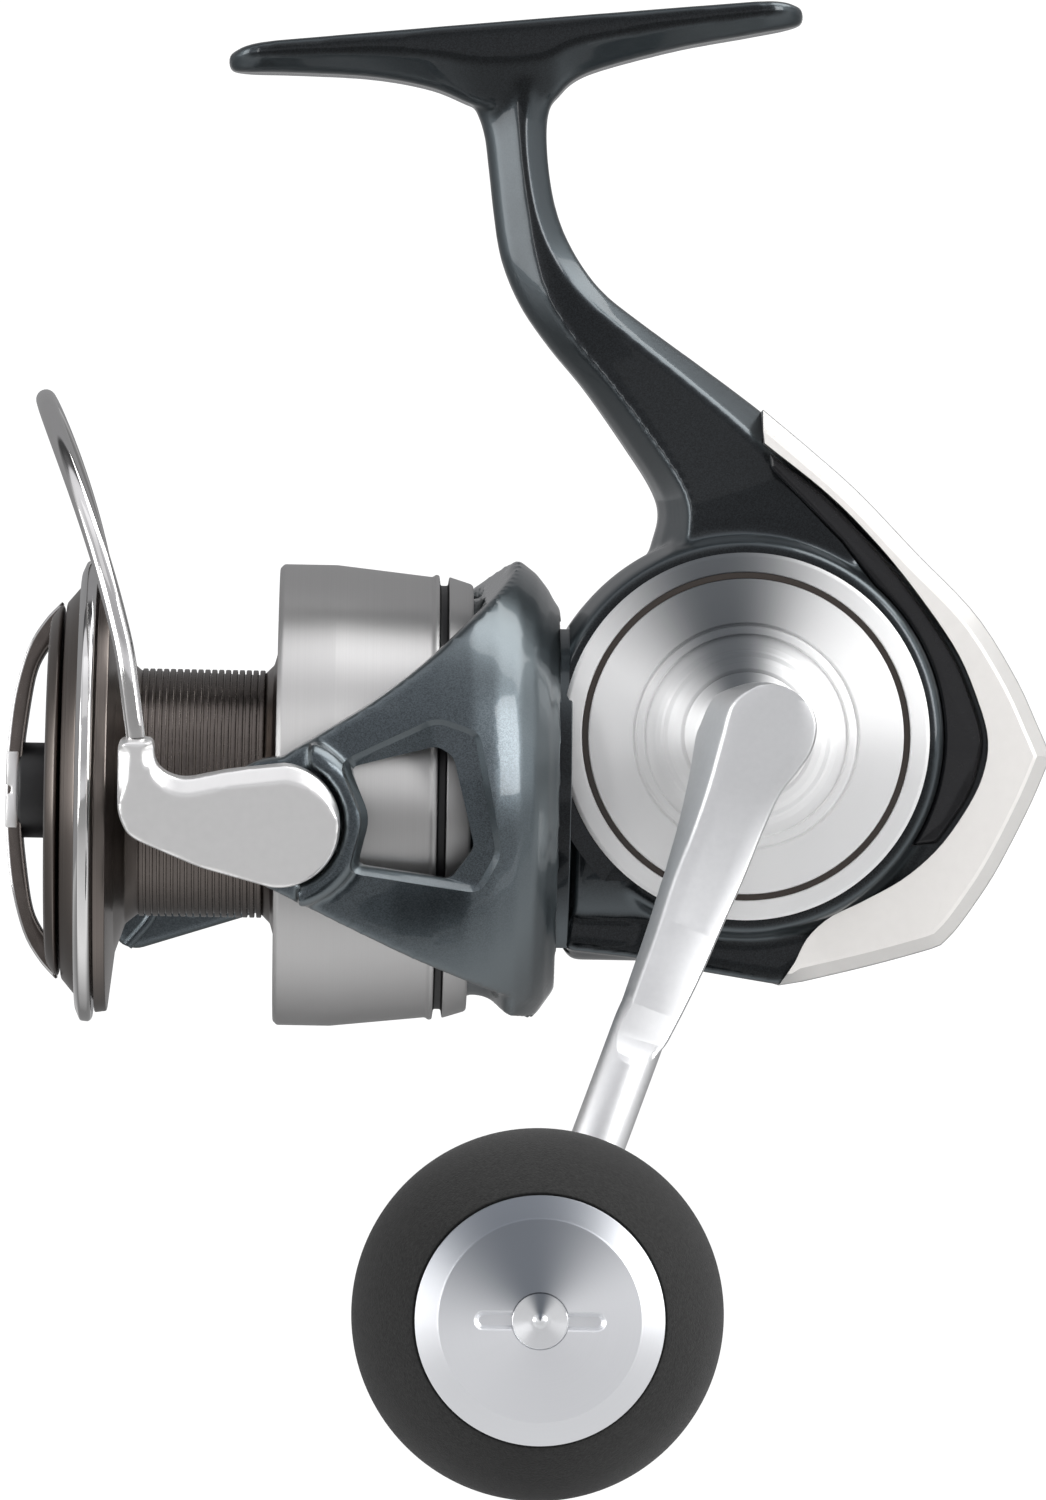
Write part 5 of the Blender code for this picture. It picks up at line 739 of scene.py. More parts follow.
def rotor_cup():
    """The rotor with its flared rim, two arms and framed window, and its spring lid and pivot screws."""
    cup = turned("rotor_casting", [(-21.5, 22.3), (-23.8, 25.6), (-26.6, 28.2), (-27.5, 27.6), (-29.1, 24.2),
                                   (-31.0, 23.4), (-51.3, 23.4), (-51.3, 21.5), (-39.9, 21.5), (-39.9, 6.8),
                                   (-40.4, 6.8), (-40.4, 3.7), (-32.4, 3.7), (-32.4, 6.8), (-37.2, 6.8),
                                   (-37.2, 21.5), (-21.5, 21.5)], rotor_line, "X", 160)
    shell = turned("arm_shell", [*ARM_SKIN, (-62.4, 28.0), (-34.2, 28.0), (-31.4, 26.9), (-30.6, 25.6),
                                 (-30.6, 23.0), (-27.5, 22.4)], rotor_line, "X", 160)
    outline = ([(-21.0, -24.0), (-21.0, 28.0)] + ROTOR_EDGE + arc(PIVOT_ALONG, 0, 7.4, 80, 248, 20)
               + [(-40.0, -15.2)])
    shell_mask, socket_mask = (slab("arm_mask", outline, -THROUGH, THROUGH, rotor_line) for _ in range(2))
    carved(shell, "INTERSECT", shell_mask)
    socket = turned("lever_socket", [(-28.6, 7.55), (-32.6, 7.55), (-33.2, 8.1), (-33.0, 9.2), (-31.8, 10.2),
                                     (-28.6, 10.2)], pivot_line, "Y", 96)
    keep = slab("socket_keep", [(-51.6, -20.0), (-40.0, -20.0), (-40.0, 20.0), (-50.4, 20.0), (-50.4, 0.0),
                                (-51.6, 0.0)], -THROUGH, -20, rotor_line)
    carved(socket, "INTERSECT", keep, socket_mask)
    carved(cup, "UNION", shell, socket)
    opening = rounded(ARM_WINDOW, 0.8, 4, True)
    bezel = rounded(ARM_BEZEL, 1.4, 4, True)
    slope = grown(bezel, -BEZEL_SLOPE)
    window = lofted("window_hole", [[(x, -24.4, z) for x, z in opening],
                                    [(x, arm_skin(x, z) + WINDOW_DEPTH, z) for x, z in opening],
                                    [(x, arm_skin(x, z) + BEZEL_DEPTH, z) for x, z in slope],
                                    [(x, arm_skin(x, z), z) for x, z in bezel],
                                    [(x, -36.0, z) for x, z in grown(bezel, 0.6)]], rotor_line)
    well = slab("spring_room", [(-44.9, -3.3), (-32.3, -3.3), (-32.3, 3.3), (-44.9, 3.3)], 28.7, THROUGH,
                rotor_line)
    chin = slab("rim_cut", [(-31.5, -22.6), (-29.6, -22.6), (-23.6, -25.4), (-21.0, -22.0), (-21.0, -40.0),
                            (-31.5, -40.0)], -26.0, 26.0, rotor_line)
    carved(cup, "DIFFERENCE", chin)
    cast(cup, ROTOR_SKIN, 5)
    pivots = turned("pivot_holes", [(-THROUGH, 0), (-THROUGH, 2.3), (-29.6, 2.3), (-29.6, 3.5), (0, 3.5),
                                    (0, 2.3), (THROUGH, 2.3), (THROUGH, 0)], pivot_line, "Y", 48, corner=0)
    carved(cup, "DIFFERENCE", window, well, pivots)
    shade(cup, 30)
    finish(cup, ROTOR_SLATE_LIT_COPY, "rotor", "slate_paint", "rotor")
    lid_edge = rounded([(-45.6, -4.0), (-31.6, -4.0), (-31.6, 4.0), (-45.6, 4.0)], 1.5, 4, True)
    lid = slab("spring_lid", lid_edge, 30.0, 32.3, rotor_line)
    softened(lid, 0.3)
    finish(lid, ROTOR_SLATE_LIT_COPY, "rotor", "slate_paint", "arm_cover")
    inside = turned("pivot_near", [(-28.3, 0), (-28.3, 3.2), (-29.3, 3.2), (-29.3, 2.0), (-34.7, 2.0),
                                   (-34.7, 0)], pivot_line, "Y", 64)
    finish(inside, NICKEL, "rotor", "bearing_steel", "pivot_screw_near")
    screw = turned("pivot_far", [(28.5, 0), (28.5, 2.0), (36.2, 2.0), (36.2, 3.8), (36.9, 3.4), (36.9, 0)],
                   pivot_line, "Y", 64)
    slot_cut = slab("screw_slot", [(-3.9, -0.4), (3.9, -0.4), (3.9, 0.4), (-3.9, 0.4)], 36.5, 38.0, bail_line)
    carved(screw, "DIFFERENCE", slot_cut)
    finish(screw, NICKEL, "rotor", "bearing_steel", "pivot_screw_far")


POST_EDGE = -14.0
POST_TOP = 9.0
LEVER_FACE = -35.75
WIRE_DEPTH = 33.6
WIRE_STEPS = 20


def bail():
    """The near lever, the wire, and the far arm with its roller and cone."""
    outline = arc(0, 0, 7.1, 84, -96, 28) + [
        (-8.9, -4.9), (-15.8, -2.1), (-17.3, -1.2), (-18.4, 1.1), (-18.45, 4.0), (-18.45, 9.8), (-14.3, 9.8),
        (-14.3, 7.8), (-13.9, 6.7), (-13.0, 5.9), (-11.6, 5.35), (-10.2, 5.3), (-5.6, 6.3)]
    edge = rounded(outline, 1.2, 4, True)
    levels = [[(x, y, z) for x, z in edge] for y in (-31.3, -34.7)]
    brow = []
    for (x, z), (inner_x, inner_z) in zip(edge, grown(edge, -1.75)):
        upward = max(0.12, (z - inner_z) / math.dist((x, z), (inner_x, inner_z)))
        if x < POST_EDGE:
            upward = max(0.12, 0.8 * smooth_step(z, 1.0, 6.5)) if z < POST_TOP else 0.25
        brow.append((x + (inner_x - x) * upward, LEVER_FACE, z + (inner_z - z) * upward))
    lever = lofted("bail_lever_near", [*levels, brow], bail_line)
    cast(lever, LEVER_SKIN, 7)
    hole = turned("lever_hole", [(-35.2, 0), (-35.2, 2.3), (-28, 2.3), (-28, 0)], bail_line, "Y", 48,
                  corner=0)
    carved(lever, "DIFFERENCE", hole)
    shade(lever, 30)
    finish(lever, NICKEL, "bail", "satin_aluminium", "bail_lever")

    lean = math.radians(17.4)
    middle = np.array((-16.0, -9.0))
    down = np.array((math.sin(lean), -math.cos(lean)))
    across = np.array((math.cos(lean), math.sin(lean)))
    tail = [middle + across * side + down * drop for side, drop in (
        (9.5, 12.4), (-5.4, 12.5), (-7.2, 11.2), (-7.2, 7.8), (-3.6, 3.1), (4.5, 3.1))]
    shape = arc(0, 0, 7.1, 150, -70, 28) + [tuple(point) for point in tail]
    arm = slab("bail_arm_far", rounded(shape, 1.2, 4, True), 31.3, 35.9, bail_line)
    softened(arm, 0.9, 4)
    brace = [middle + across * side + down * drop for side, drop in (
        (-0.6, 3.4), (-0.9, 6.5), (-2.6, 9.2), (-6.2, 11.6))]
    ridge = wire("arm_ridge", [(x, 31.4, z) for x, z in flowing(brace, 24)], 0.7, bail_line, 16)
    stud = middle + across * 2.6 + down * 9.6
    boss = turned("arm_stud", [(31.05, 0), (31.05, 0.9), (31.2, 1.15), (32.0, 1.15), (32.0, 0)],
                  bail_line @ Matrix.Translation((stud[0], 0, stud[1])), "Y", 32, corner=0.05)
    hole = turned("arm_hole", [(28, 0), (28, 2.3), (40, 2.3), (40, 0)], bail_line, "Y", 48, corner=0)
    pin_hole = turned("pin_hole", [(2.0, 0), (2.0, 1.3), (9.0, 1.3), (9.0, 0)], roller_line, "X", 48,
                      corner=0)
    carved(arm, "UNION", ridge, boss)
    carved(arm, "DIFFERENCE", hole, pin_hole)
    shade(arm, 30)
    finish(arm, ROTOR_SLATE_LIT_COPY, "bail", "slate_paint", "bail_arm")
    roller = turned("roller_groove", [(-2.8, 2.4), (-2.8, 3.3), (-2.5, 3.6), (-1.5, 3.5), (-0.6, 3.05),
                                      (0.2, 2.9), (1.0, 3.05), (1.7, 3.5), (2.5, 3.6), (2.8, 3.3),
                                      (2.8, 2.4)], roller_line)
    finish(roller, MIRROR_TURNED, "roller", "polished_steel", "line_roller")
    cone = turned("wire_end", [(-8.6, 0), (-8.6, 1.3), (-7.2, 1.7), (-5.6, 2.4), (-4.4, 3.1), (-3.8, 3.3),
                               (-3.45, 3.1), (-3.4, 0)], roller_line, corner=0.4)
    finish(cone, CHROME, "bail", "polished_steel", "wire_cone")
    tip = -16.6
    points = [(tip + 0.2, -WIRE_DEPTH, 9.9), (tip - 0.1, -WIRE_DEPTH, 12.0)]
    for i in range(1, WIRE_STEPS):
        turn = math.pi * i / WIRE_STEPS
        points.append((tip - 0.4 - 4.0 * i / WIRE_STEPS - 9.3 * math.sin(turn) ** 1.5,
                       -WIRE_DEPTH * math.cos(turn), 14.0 + 32.0 * math.sin(turn)))
    end = middle + down * -8.9
    points += [(end[0] - 1.9, WIRE_DEPTH, end[1] + 7.0), (end[0], WIRE_DEPTH, end[1])]
    bow = wire("bail_bow", flowing(points, 140), 1.15, bail_line)
    finish(bow, CHROME, "bail", "polished_steel", "bail_wire")


SKIRT_FRONT = -54.6
SKIRT_INNER = 18.0
SLIT = (-35.78, -34.7)
SLIT_RADII = (24.8, 25.9)


def spool():
    """The spool: skirt, arbor and flanges, with its bright lip ring."""
    profile = [(-79.4, 12.9), (-79.4, 22.1), (-77.7, 24.1), (-75.4, 24.1), (-75.4, 26.0), (-74.0, 25.8),
               (-73.2, 19.0), (-72.0, 15.5), (-70.5, 14.3), (-56.2, 14.0), (-55.0, 15.2), (-54.5, 17.0),
               (-54.5, 26.6), (-54.0, 27.1), (-47.8, 27.1), (-36.6, 25.9), (-36.2, 26.2), (-35.8, 26.1),
               (-35.65, 24.9), (-34.8, 24.9), (-34.65, 25.95), (-32.1, 25.15), (-31.8, 24.9), (-31.8, 24.0),
               (-52.6, 24.6), (-52.6, 12.3), (-66.6, 12.3), (-66.6, 8.0), (-52.6, 8.0), (-52.6, 5.9),
               (-56.7, 5.9), (-56.7, 2.6), (-70.6, 2.6), (-70.6, 12.4)]
    body = turned("spool_turned", profile, spool_line, "X", 192, corner=0.2)
    finish(body, DARK_TITANIUM, "spool", "dark_titanium", "spool")
    body.data.materials.append(SKIRT_SILVER)
    body.data.materials.append(HUB_BLACK)
    inverse = spool_line.inverted()
    for face in body.data.polygons:
        middle = inverse @ face.center
        radius = math.hypot(middle.y, middle.z)
        if middle.x > SKIRT_FRONT and radius > SKIRT_INNER:
            face.material_index = 1
        # Faces inside the slit behind the skirt take the black hub finish.
        if SLIT[0] < middle.x < SLIT[1] and SLIT_RADII[0] < radius < SLIT_RADII[1]:
            face.material_index = 2
    lip = turned("lip_ring", [(-75.7, 24.4), (-75.7, 26.7), (-76.1, 27.1), (-77.1, 27.0), (-77.7, 25.6),
                              (-77.7, 24.4)], spool_line, "X", 192)
    finish(lip, CHROME, "spool", "polished_steel", "spool_lip_ring")


CRANK_LEAN = math.radians(20.0)
CRANK_TOP = -6.5
FLAT_START, FLAT_END, FLAT_DROP = 28.0, 41.5, 0.7


def crank_spot(along, across, y):
    """A point of the crank by its place along the arm, across it, and along Y."""
    return (-along * math.sin(CRANK_LEAN) + across * math.cos(CRANK_LEAN), y,
            -along * math.cos(CRANK_LEAN) - across * math.sin(CRANK_LEAN))


def crank_back(along):
    """The arm's inner face, which bows out past the rotor."""
    return -28.0 - 13.5 * smooth_step(along, 6.3, 57.85)


def crank():
    """The bowed crank arm, flat on its face and round at its end, on a flared collar."""
    left = flowing([(CRANK_TOP, 1.3), (-6.2, -0.3), (-5.0, -2.0), (-2.4, -3.4), (1.8, -3.1), (7.1, -2.6),
                    (12.6, -2.4), (18.3, -2.5), (24.5, -2.25), (30.8, -2.15), (35.3, -2.1), (41.5, -2.2),
                    (52.0, -2.2)], 400)
    right = flowing([(CRANK_TOP, 2.3), (-6.2, 4.0), (-5.3, 5.5), (-3.4, 6.8), (-0.6, 7.15), (2.5, 6.4),
                     (5.2, 5.6), (9.6, 5.3), (15.7, 5.15), (21.9, 4.75), (27.2, 4.45), (31.9, 4.0),
                     (36.4, 3.45), (38.8, 3.2), (52.0, 3.1)], 400)
    head = CRANK_TOP + 4.5 * (1 - np.cos(np.linspace(0.0, math.pi / 2, 16)))
    rows = []
    for along in [*head, *np.linspace(-1.4, FLAT_END, 56)]:
        low = np.interp(along, left[:, 0], left[:, 1])
        high = np.interp(along, right[:, 0], right[:, 1]) - 1.0 * smooth_step(along, 36.0, FLAT_END)
        face = 6.0 - FLAT_DROP * smooth_step(along, FLAT_START, FLAT_END)
        wall = np.interp(along, (CRANK_TOP, -3.0, 2.0, 10.0, 18.0, 41.0), (0.3, 2.0, 2.7, 1.9, 1.1, 0.9))
        bevel = min(0.5, 0.4 * (high - low))
        section = [(low - wall, face - 0.6 - 2.1 * wall), (low - wall + 0.5, 0.0), (high - 0.4, 0.0),
                   (high + 0.1, 0.6), (high, face - 0.8), (high - 0.12 * bevel, face - 0.38),
                   (high - 0.45 * bevel, face - 0.1), (high - bevel, face)]
        section += [(high - bevel + (low - high + 2 * bevel) * share, face) for share in (0.25, 0.5, 0.75)]
        section += [(low + bevel, face), (low + 0.45 * bevel, face - 0.1), (low + 0.12 * bevel, face - 0.3),
                    (low - 0.15, face - 0.6)]
        rows.append([crank_spot(along, across, crank_back(along) - rise) for across, rise in section])
    arm = lofted("crank_bar", rows, reel, 30)
    rows = []
    for along in np.linspace(27.0, 69.7, 72):
        size = 2.4 + 0.8 * smooth_step(along, 27.0, 36.0)
        rows.append([crank_spot(along, size * math.cos(turn), crank_back(along) - 3.2 - size * math.sin(turn))
                     for turn in np.linspace(0, 2 * math.pi, 64, endpoint=False)])
    shaft = lofted("crank_stem", rows, reel)
    eye = turned("crank_eye", [(-41.5, 0), (-41.5, 4.0), (-42.0, 4.6), (-47.0, 4.6), (-47.5, 4.0),
                               (-47.5, 0)], knob_line, "Y", 64)
    carved(arm, "UNION", shaft, eye)
    rows = []
    for along in np.linspace(20.0, 40.45, 48):
        half = 5.0 - 2.3 * smooth_step(along, 30.0, 36.5)
        half *= math.sqrt(max(0.01, 1 - (max(0.0, along - 36.6) / 3.9) ** 2))
        drop = FLAT_DROP * smooth_step(along, FLAT_START, FLAT_END)
        floor = 6.05 - 0.09 * smooth_step(along, 20.0, 26.0) - drop + 0.08 * max(0.0, along - 36.4) ** 2
        rows.append([crank_spot(along, across + 0.4, crank_back(along) - rise) for across, rise in
                     ((-half - 0.6, 12.0), (-half - 0.6, floor + 0.7), (-half, floor), (half, floor),
                      (half + 0.6, floor + 0.7), (half + 0.6, 12.0))])
    pocket = lofted("crank_flat", rows, reel)
    socket = turned("spindle_room", [(-20, 0), (-20, 3.3), (-31.5, 3.3), (-31.5, 0)], reel, "Y", 48, corner=0)
    post = turned("post_room", [(-30, 0), (-30, 2.5), (-60, 2.5), (-60, 0)], knob_line, "Y", 48, corner=0)
    carved(arm, "DIFFERENCE", pocket, socket, post)
    shade(arm, 32)
    finish(arm, SATIN, "crank", "satin_aluminium", "crank_arm")
    collar = turned("crank_flare", [(-23.3, 3.3), (-23.3, 7.4), (-24.2, 7.2), (-25.6, 6.2), (-27.0, 5.7),
                                    (-27.7, 5.6), (-27.7, 3.3)], reel, "Y", 96, corner=0.3)
    finish(collar, MIRROR_TURNED, "crank", "satin_aluminium", "crank_collar")


def drag_knob():
    """The drag knob: a dark disc and hub under an arched grip with bright edges and a clip."""
    base = turned("drag_dial", [(-70.9, 0), (-70.9, 10.1), (-79.7, 10.1), (-79.7, 21.6), (-80.1, 22.0),
                                (-81.1, 20.8), (-81.3, 20.0), (-81.3, 6.0), (-81.5, 5.5), (-84.4, 5.4),
                                (-84.6, 5.2), (-84.6, 0)], spool_line, "X", 128)
    room = turned("dial_room", [(-60, 0), (-60, 4.2), (-79.9, 4.2), (-79.9, 2.3), (-83.2, 2.3), (-83.2, 0)],
                  spool_line, "X", 64, corner=0)
    carved(base, "DIFFERENCE", room)
    finish(base, DARK_TITANIUM, "drag", "dark_titanium", "drag_knob")
    outer = curve([(-79.9, 22.2), (-82.0, 19.9), (-83.9, 16.6), (-85.4, 11.0), (-86.1, 4.4), (-86.2, 0.0)],
                  24)
    under = curve([(-84.4, 0.0), (-84.3, 4.0), (-84.0, 7.4), (-83.1, 13.3), (-82.0, 16.0), (-80.6, 17.8)], 24)
    outer_below = [(x, -z) for x, z in reversed(outer[:-1])]
    under_below = [(x, -z) for x, z in reversed(under)]
    outline = outer + outer_below + under_below + under[1:]
    grip = slab("drag_grip", outline, -4.0, 4.0, spool_line)
    softened(grip, 0.4, 2)
    finish(grip, TITANIUM_PLAIN, "drag", "dark_titanium")
    grip.data.materials.append(CHROME)
    side = Vector(CRANK_AXIS).normalized()
    for face in grip.data.polygons:
        face.material_index = int(0.2 < abs(face.normal @ side) < 0.97)
    clip = slab("grip_clip", [(-86.15, -4.5), (-86.15, -0.5), (-85.6, -0.4), (-85.6, 0.4), (-86.15, 0.5),
                              (-86.15, 4.5), (-84.7, 4.5), (-84.7, -4.5)], -4.3, 4.3, spool_line)
    softened(clip, 0.25, 2)
    finish(clip, NICKEL, "drag", "dark_titanium")
    hub = turned("drag_hub", [(-81.4, 3.0), (-81.4, 5.6), (-84.5, 5.6), (-84.8, 5.3), (-84.8, 3.0)],
                 spool_line, "X", 96)
    finish(hub, HUB_BLACK, "drag", "dark_titanium")


def arbor_ribs():
    """Fine ribs along the spool's arbor: one ring, repeated along the axis."""
    tree, start, end = group("ribs", [("Count", "NodeSocketInt", 18), ("Pitch", "NodeSocketFloat", 0.00081),
                                      ("Radius", "NodeSocketFloat", 0.0143),
                                      ("Width", "NodeSocketFloat", 0.0006),
                                      ("Height", "NodeSocketFloat", 0.0005),
                                      ("Round", "NodeSocketFloat", 0.00012),
                                      ("Finish", "NodeSocketMaterial", None)],
                             [("Geometry", "NodeSocketGeometry")], "GeometryNodeTree")
    step = node(tree, "ShaderNodeCombineXYZ", {"Z": start.outputs["Pitch"]})
    line = node(tree, "GeometryNodeMeshLine", {"Count": start.outputs["Count"], "Offset": step.outputs[0]})
    circle = node(tree, "GeometryNodeCurvePrimitiveCircle",
                  {"Resolution": 128, "Radius": start.outputs["Radius"]})
    bar = node(tree, "GeometryNodeCurvePrimitiveQuadrilateral", {"Width": start.outputs["Height"],
                                                                "Height": start.outputs["Width"]})
    section = node(tree, "GeometryNodeFilletCurve", {"Curve": bar.outputs["Curve"], "Count": 3,
                                                     "Radius": start.outputs["Round"]}, mode="POLY")
    ring = node(tree, "GeometryNodeCurveToMesh", {"Curve": circle.outputs["Curve"],
                                                  "Profile Curve": section.outputs["Curve"]})
    placed = node(tree, "GeometryNodeInstanceOnPoints", {"Points": line.outputs["Mesh"],
                                                         "Instance": ring.outputs["Mesh"]})
    whole = node(tree, "GeometryNodeRealizeInstances", {"Geometry": placed.outputs["Instances"]})
    coloured = node(tree, "GeometryNodeSetMaterial", {"Geometry": whole.outputs["Geometry"],
                                                      "Material": start.outputs["Finish"]})
    tree.links.new(coloured.outputs["Geometry"], end.inputs["Geometry"])
    ribs = bpy.data.objects.new("arbor_ribs", bpy.data.meshes.new("arbor_ribs"))
    bpy.context.scene.collection.objects.link(ribs)
    rule = ribs.modifiers.new("ribs", "NODES")
    rule.node_group = tree
    sockets = {item.name: item.identifier for item in tree.interface.items_tree}
    rule[sockets["Finish"]] = TITANIUM_PLAIN
    applied(ribs)
    turn = Matrix(((0, 0, 1, 0), (1, 0, 0, 0), (0, 1, 0, 0), (0, 0, 0, 1)))
    ribs.data.transform(spool_line @ Matrix.Translation((-70.1, 0, 0)) @ turn @ Matrix.Scale(1 / MM, 4))
    shade(ribs, 60)
    finish(ribs, TITANIUM_PLAIN, "spool", "dark_titanium")


FOAM_BACK, FOAM_DEPTH, FOAM_RADIUS = -50.0, 29.5, 20.8


def knob():
    """The foam ball and its slotted cap with a bright insert."""
    crown = flowing([(0.0, 0.42), (0.03, 0.60), (0.10, 0.76), (0.22, 0.90), (0.36, 0.98), (0.48, 1.0),
                     (0.62, 0.98), (0.76, 0.91), (0.88, 0.81), (0.97, 0.71), (0.995, 0.675)], 40)
    profile = [(FOAM_BACK - FOAM_DEPTH * along, FOAM_RADIUS * share) for along, share in crown]
    ball = turned("foam_ball", [(FOAM_BACK, 7.5), *profile, (-77.3, 12.8), (-77.3, 7.5)], knob_line, "Y", 160,
                  corner=0.4)
    finish(ball, FOAM, "knob", "foam", "knob_grip")
    cap = turned("knob_face", [(-77.6, 0), (-77.6, 12.5), (-79.5, 12.5), (-79.5, 13.4), (-79.9, 13.8),
                               (-80.6, 13.8), (-81.6, 11.35), (-81.7, 11.2), (-81.7, 0)], knob_line, "Y", 160,
                 corner=0.08)
    slot = arc(6.2, 0, 0.85, -90, 90, 12) + arc(-6.2, 0, 0.85, 90, 270, 12)
    slot_cut = lofted("cap_slot", [[(x, y, z) for x, z in grown(slot, extra)] for y, extra in (
        (-80.9, -0.3), (-81.15, 0.0), (-81.55, 0.05), (-81.7, 0.25), (-83.0, 0.25))], knob_line)
    seat_cut = turned("insert_room", [(-81.2, 0), (-81.2, 3.2), (-90, 3.2), (-90, 0)], knob_line, "Y", 64,
                      corner=0)
    carved(cap, "DIFFERENCE", slot_cut, seat_cut)
    shade(cap, 30)
    finish(cap, CAP_SATIN, "knob", "satin_aluminium", "knob_cap")
    insert = turned("cap_insert", [(-81.25, 0), (-81.25, 3.1), (-81.5, 3.1), (-81.55, 3.0), (-81.2, 0.9),
                                   (-81.55, 0.5), (-81.65, 0.0)], knob_line, "Y", 96, corner=0.05)
    finish(insert, CAP_BRIGHT, "knob", "satin_aluminium")


housing()
rear_trim()
side_plate()
rotor_cup()
bail()
spool()
arbor_ribs()
drag_knob()
crank()
knob()


# Stage, light and camera
FLOOR_GAP = 2.0
FLOOR_REACH = 1600.0
WHITE = (1.0, 1.0, 1.0, 1)
PAPER_GLOW = 1.1


def ramp(tree, value, *stops):
    """A value from -1 to 1 as greys, by stops of place and grey."""
    unit = node(tree, "ShaderNodeMapRange", {"Value": value, "From Min": -1.0, "From Max": 1.0})
    made = node(tree, "ShaderNodeValToRGB", {"Fac": unit.outputs["Result"]})
    line = made.color_ramp
    while len(line.elements) < len(stops):
        line.elements.new(1.0)
    for element, (place, grey) in zip(line.elements, stops):
        element.position = (place + 1) / 2
        element.color = (grey, grey, grey * 1.01, 1)
    return made.outputs["Color"]


def stage_floor():
    """A pale flat floor under the reel."""
    low = min(corner[2] for corner in solid_box) / MM - FLOOR_GAP
    bm = bmesh.new()
    corners = ((-1, -1), (1, -1), (1, 1), (-1, 1))
    bm.faces.new([bm.verts.new((x * FLOOR_REACH, y * FLOOR_REACH, low)) for x, y in corners])
    floor = make("floor", bm, Matrix.Scale(MM, 4))
    made, tree, shader = material("pale_floor", {"Roughness": 0.9, "Specular IOR Level": 0.1})
    grain = node(tree, "ShaderNodeGroup", node_tree=GRAIN)
    grain.inputs["Size"].default_value = 12.0
    tree.links.new(colour_mix(tree, grain.outputs["Mask"], (0.88, 0.88, 0.88, 1), (0.92, 0.92, 0.92, 1)),
                   shader.inputs["Base Color"])
    # Seen straight on the floor is near white; in reflections it glows as painted light, like a lit table in front
    # and a dim one behind
    glow = node(tree, "ShaderNodeEmission", {"Color": WHITE, "Strength": PAPER_GLOW})
    rays = node(tree, "ShaderNodeLightPath")
    where = node(tree, "ShaderNodeSeparateXYZ", {0: node(tree, "ShaderNodeTexCoord").outputs["Object"]})
    lit = ramp(tree, where.outputs["Y"], (-0.7, 0.35), (-0.3, 0.4), (-0.12, 0.65), (-0.02, 0.95),
               (0.03, 0.45), (0.08, 0.22), (0.3, 0.25), (0.9, 0.5))
    sheen = node(tree, "ShaderNodeEmission", {"Color": lit, "Strength": 1.0})
    table = node(tree, "ShaderNodeMixShader", {0: rays.outputs["Is Glossy Ray"], 1: shader.outputs[0],
                                               2: sheen.outputs[0]})
    share = maths(tree, "MULTIPLY", rays.outputs["Is Camera Ray"], 0.9)
    seen = node(tree, "ShaderNodeMixShader", {0: share, 1: table.outputs[0], 2: glow.outputs[0]})
    tree.links.new(seen.outputs[0], tree.nodes["Material Output"].inputs["Surface"])
    floor.data.materials.append(made)


def softbox(name, place, aim, size, power):
    """A rectangular soft light."""
    light = bpy.data.lights.new(name, "AREA")
    light.shape = "RECTANGLE"
    light.size, light.size_y = size
    light.energy = power
    lamp = bpy.data.objects.new(name, light)
    bpy.context.scene.collection.objects.link(lamp)
    lamp.location = place
    lamp.rotation_euler = (Vector(aim) - Vector(place)).to_track_quat("-Z", "Y").to_euler()


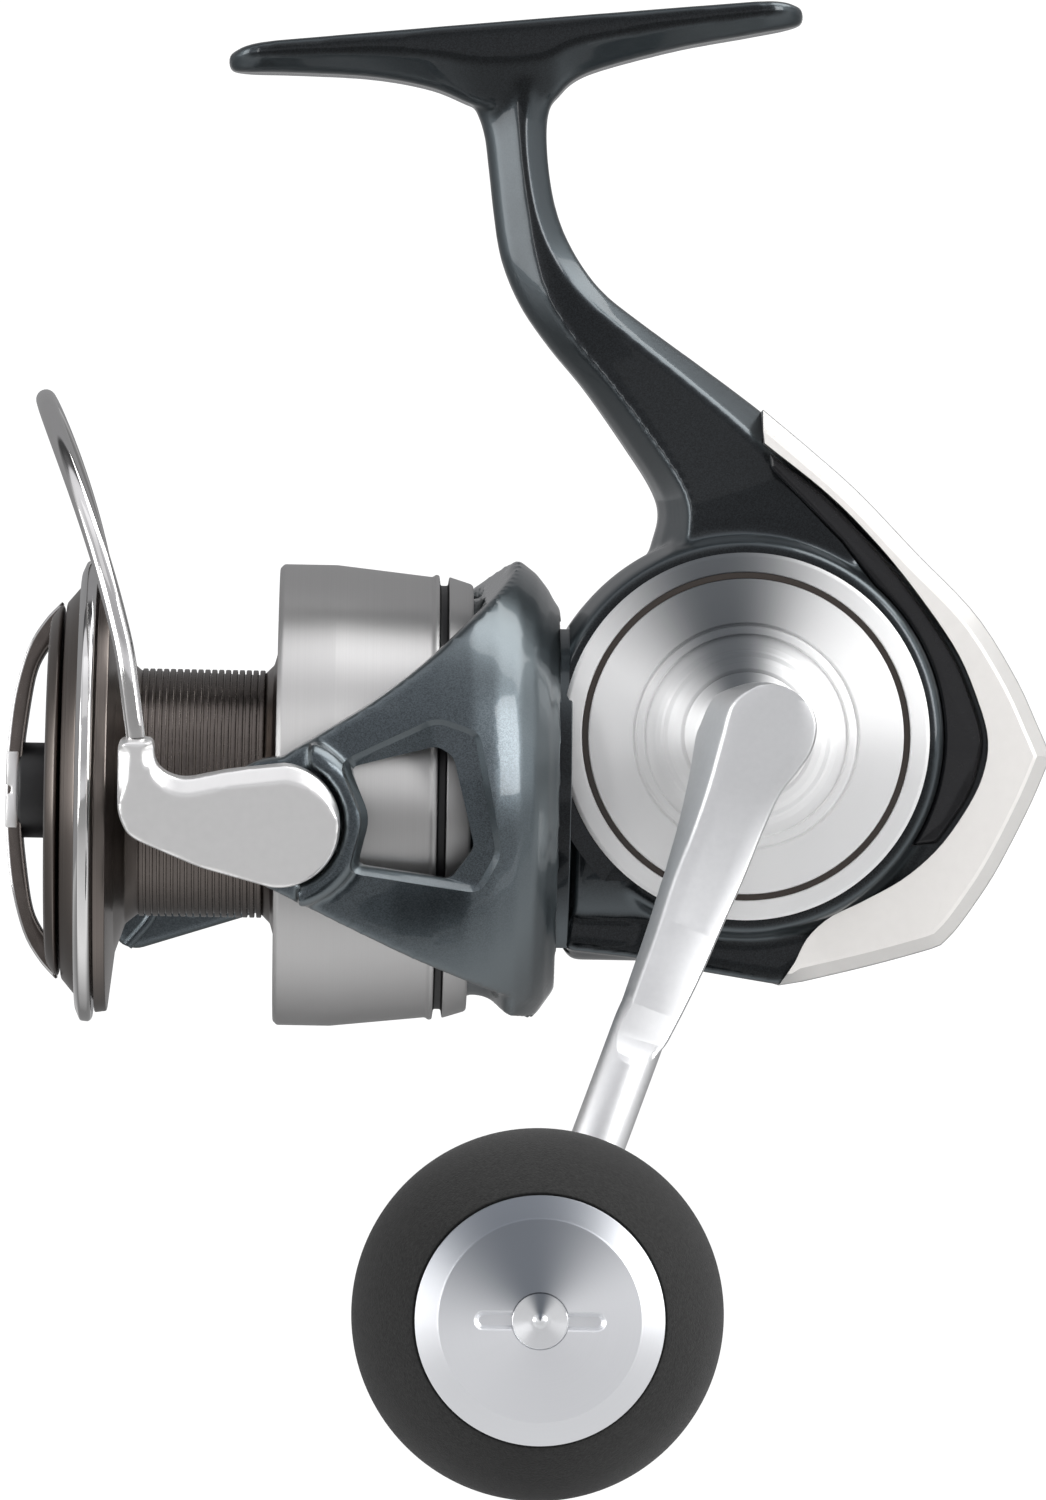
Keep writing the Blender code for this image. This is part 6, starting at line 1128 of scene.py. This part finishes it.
def studio():
    """A soft room, bright on the viewer's side and dim behind the reel, with panels on all sides."""
    world = bpy.data.worlds.new("studio")
    bpy.context.scene.world = world
    bpy.context.scene.view_settings.view_transform = "Standard"
    world.use_nodes = True
    tree = world.node_tree
    way = node(tree, "ShaderNodeSeparateXYZ", {0: node(tree, "ShaderNodeTexCoord").outputs["Generated"]})
    depth = ramp(tree, way.outputs["Y"], (-1.0, 0.78), (-0.96, 0.80), (-0.90, 0.86), (-0.80, 0.94),
                 (-0.2, 1.0), (0.0, 0.85), (0.2, 0.34), (1.0, 0.30))
    height = ramp(tree, way.outputs["Z"], (-1.0, 0.95), (-0.8, 0.98), (-0.5, 0.8), (-0.2, 0.9), (0.1, 1.0))
    gap = ramp(tree, way.outputs["Y"], (-0.02, 1.0), (0.04, 0.2), (0.30, 0.2), (0.36, 1.0))
    overhead = ramp(tree, way.outputs["Z"], (0.5, 0.0), (0.85, 1.0))
    shaded = ramp(tree, way.outputs["Z"], (0.06, 1.0), (0.25, 0.58), (0.80, 0.58), (0.92, 0.85))
    ahead = ramp(tree, way.outputs["Y"], (-0.55, 1.0), (-0.15, 0.0))
    room = depth
    for share, tone in ((1.0, height), (overhead, gap), (ahead, shaded)):
        room = node(tree, "ShaderNodeMix", {0: share, 6: room, 7: tone}, data_type="RGBA",
                    blend_type="MULTIPLY").outputs[2]
    lit = node(tree, "ShaderNodeBackground", {"Color": room, "Strength": 1.0})
    paper = node(tree, "ShaderNodeBackground", {"Color": WHITE, "Strength": PAPER_GLOW})
    seen = node(tree, "ShaderNodeMixShader", {0: node(tree, "ShaderNodeLightPath").outputs["Is Camera Ray"],
                                              1: lit.outputs[0], 2: paper.outputs[0]})
    tree.links.new(seen.outputs[0], tree.nodes["World Output"].inputs["Surface"])
    middle = (0.0, 0.0, -0.08)
    softbox("panel_left", (-1.0, -0.95, 0.1), middle, (0.14, 1.2), 2.8)
    softbox("panel_side", (-1.2, -0.3, 0.15), middle, (0.5, 1.0), 6.0)
    softbox("panel_right", (1.1, -0.7, 0.2), middle, (0.45, 1.0), 11.0)
    softbox("panel_front", reel @ Vector((-130.0, -260.0, 330.0)), reel @ Vector((-60.0, -27.0, 10.0)),
            (0.24, 0.25), 0.06)
    softbox("panel_rear", (0.85, 0.1, 0.95), middle, (0.95, 0.9), 9.0)


VIEW_DISTANCE = 1250.0
VIEW_TILT = math.radians(1.03)


def camera():
    """The photographed view: square on to the crank side through a long lens."""
    lens = bpy.data.cameras.new("view")
    lens.sensor_fit = "VERTICAL"
    lens.sensor_height = 36.0
    lens.lens = 255.0
    lens.clip_start = 0.05
    eye = bpy.data.objects.new("view", lens)
    bpy.context.scene.collection.objects.link(eye)
    stand = reel @ Vector((-44.9, -VIEW_DISTANCE, -15.2))
    aim = reel @ Vector((-25.6, 0.0, -1.87))
    turn = reel.to_3x3()
    upright = (turn @ Vector((-math.sin(VIEW_TILT), 0.0, math.cos(VIEW_TILT)))).normalized()
    back = (stand - aim).normalized()
    right = upright.cross(back).normalized()
    sight = Matrix((right, back.cross(right), back)).transposed().to_4x4()
    eye.matrix_world = Matrix.Translation(stand) @ sight
    bpy.context.scene.camera = eye


stage_floor()
studio()
camera()
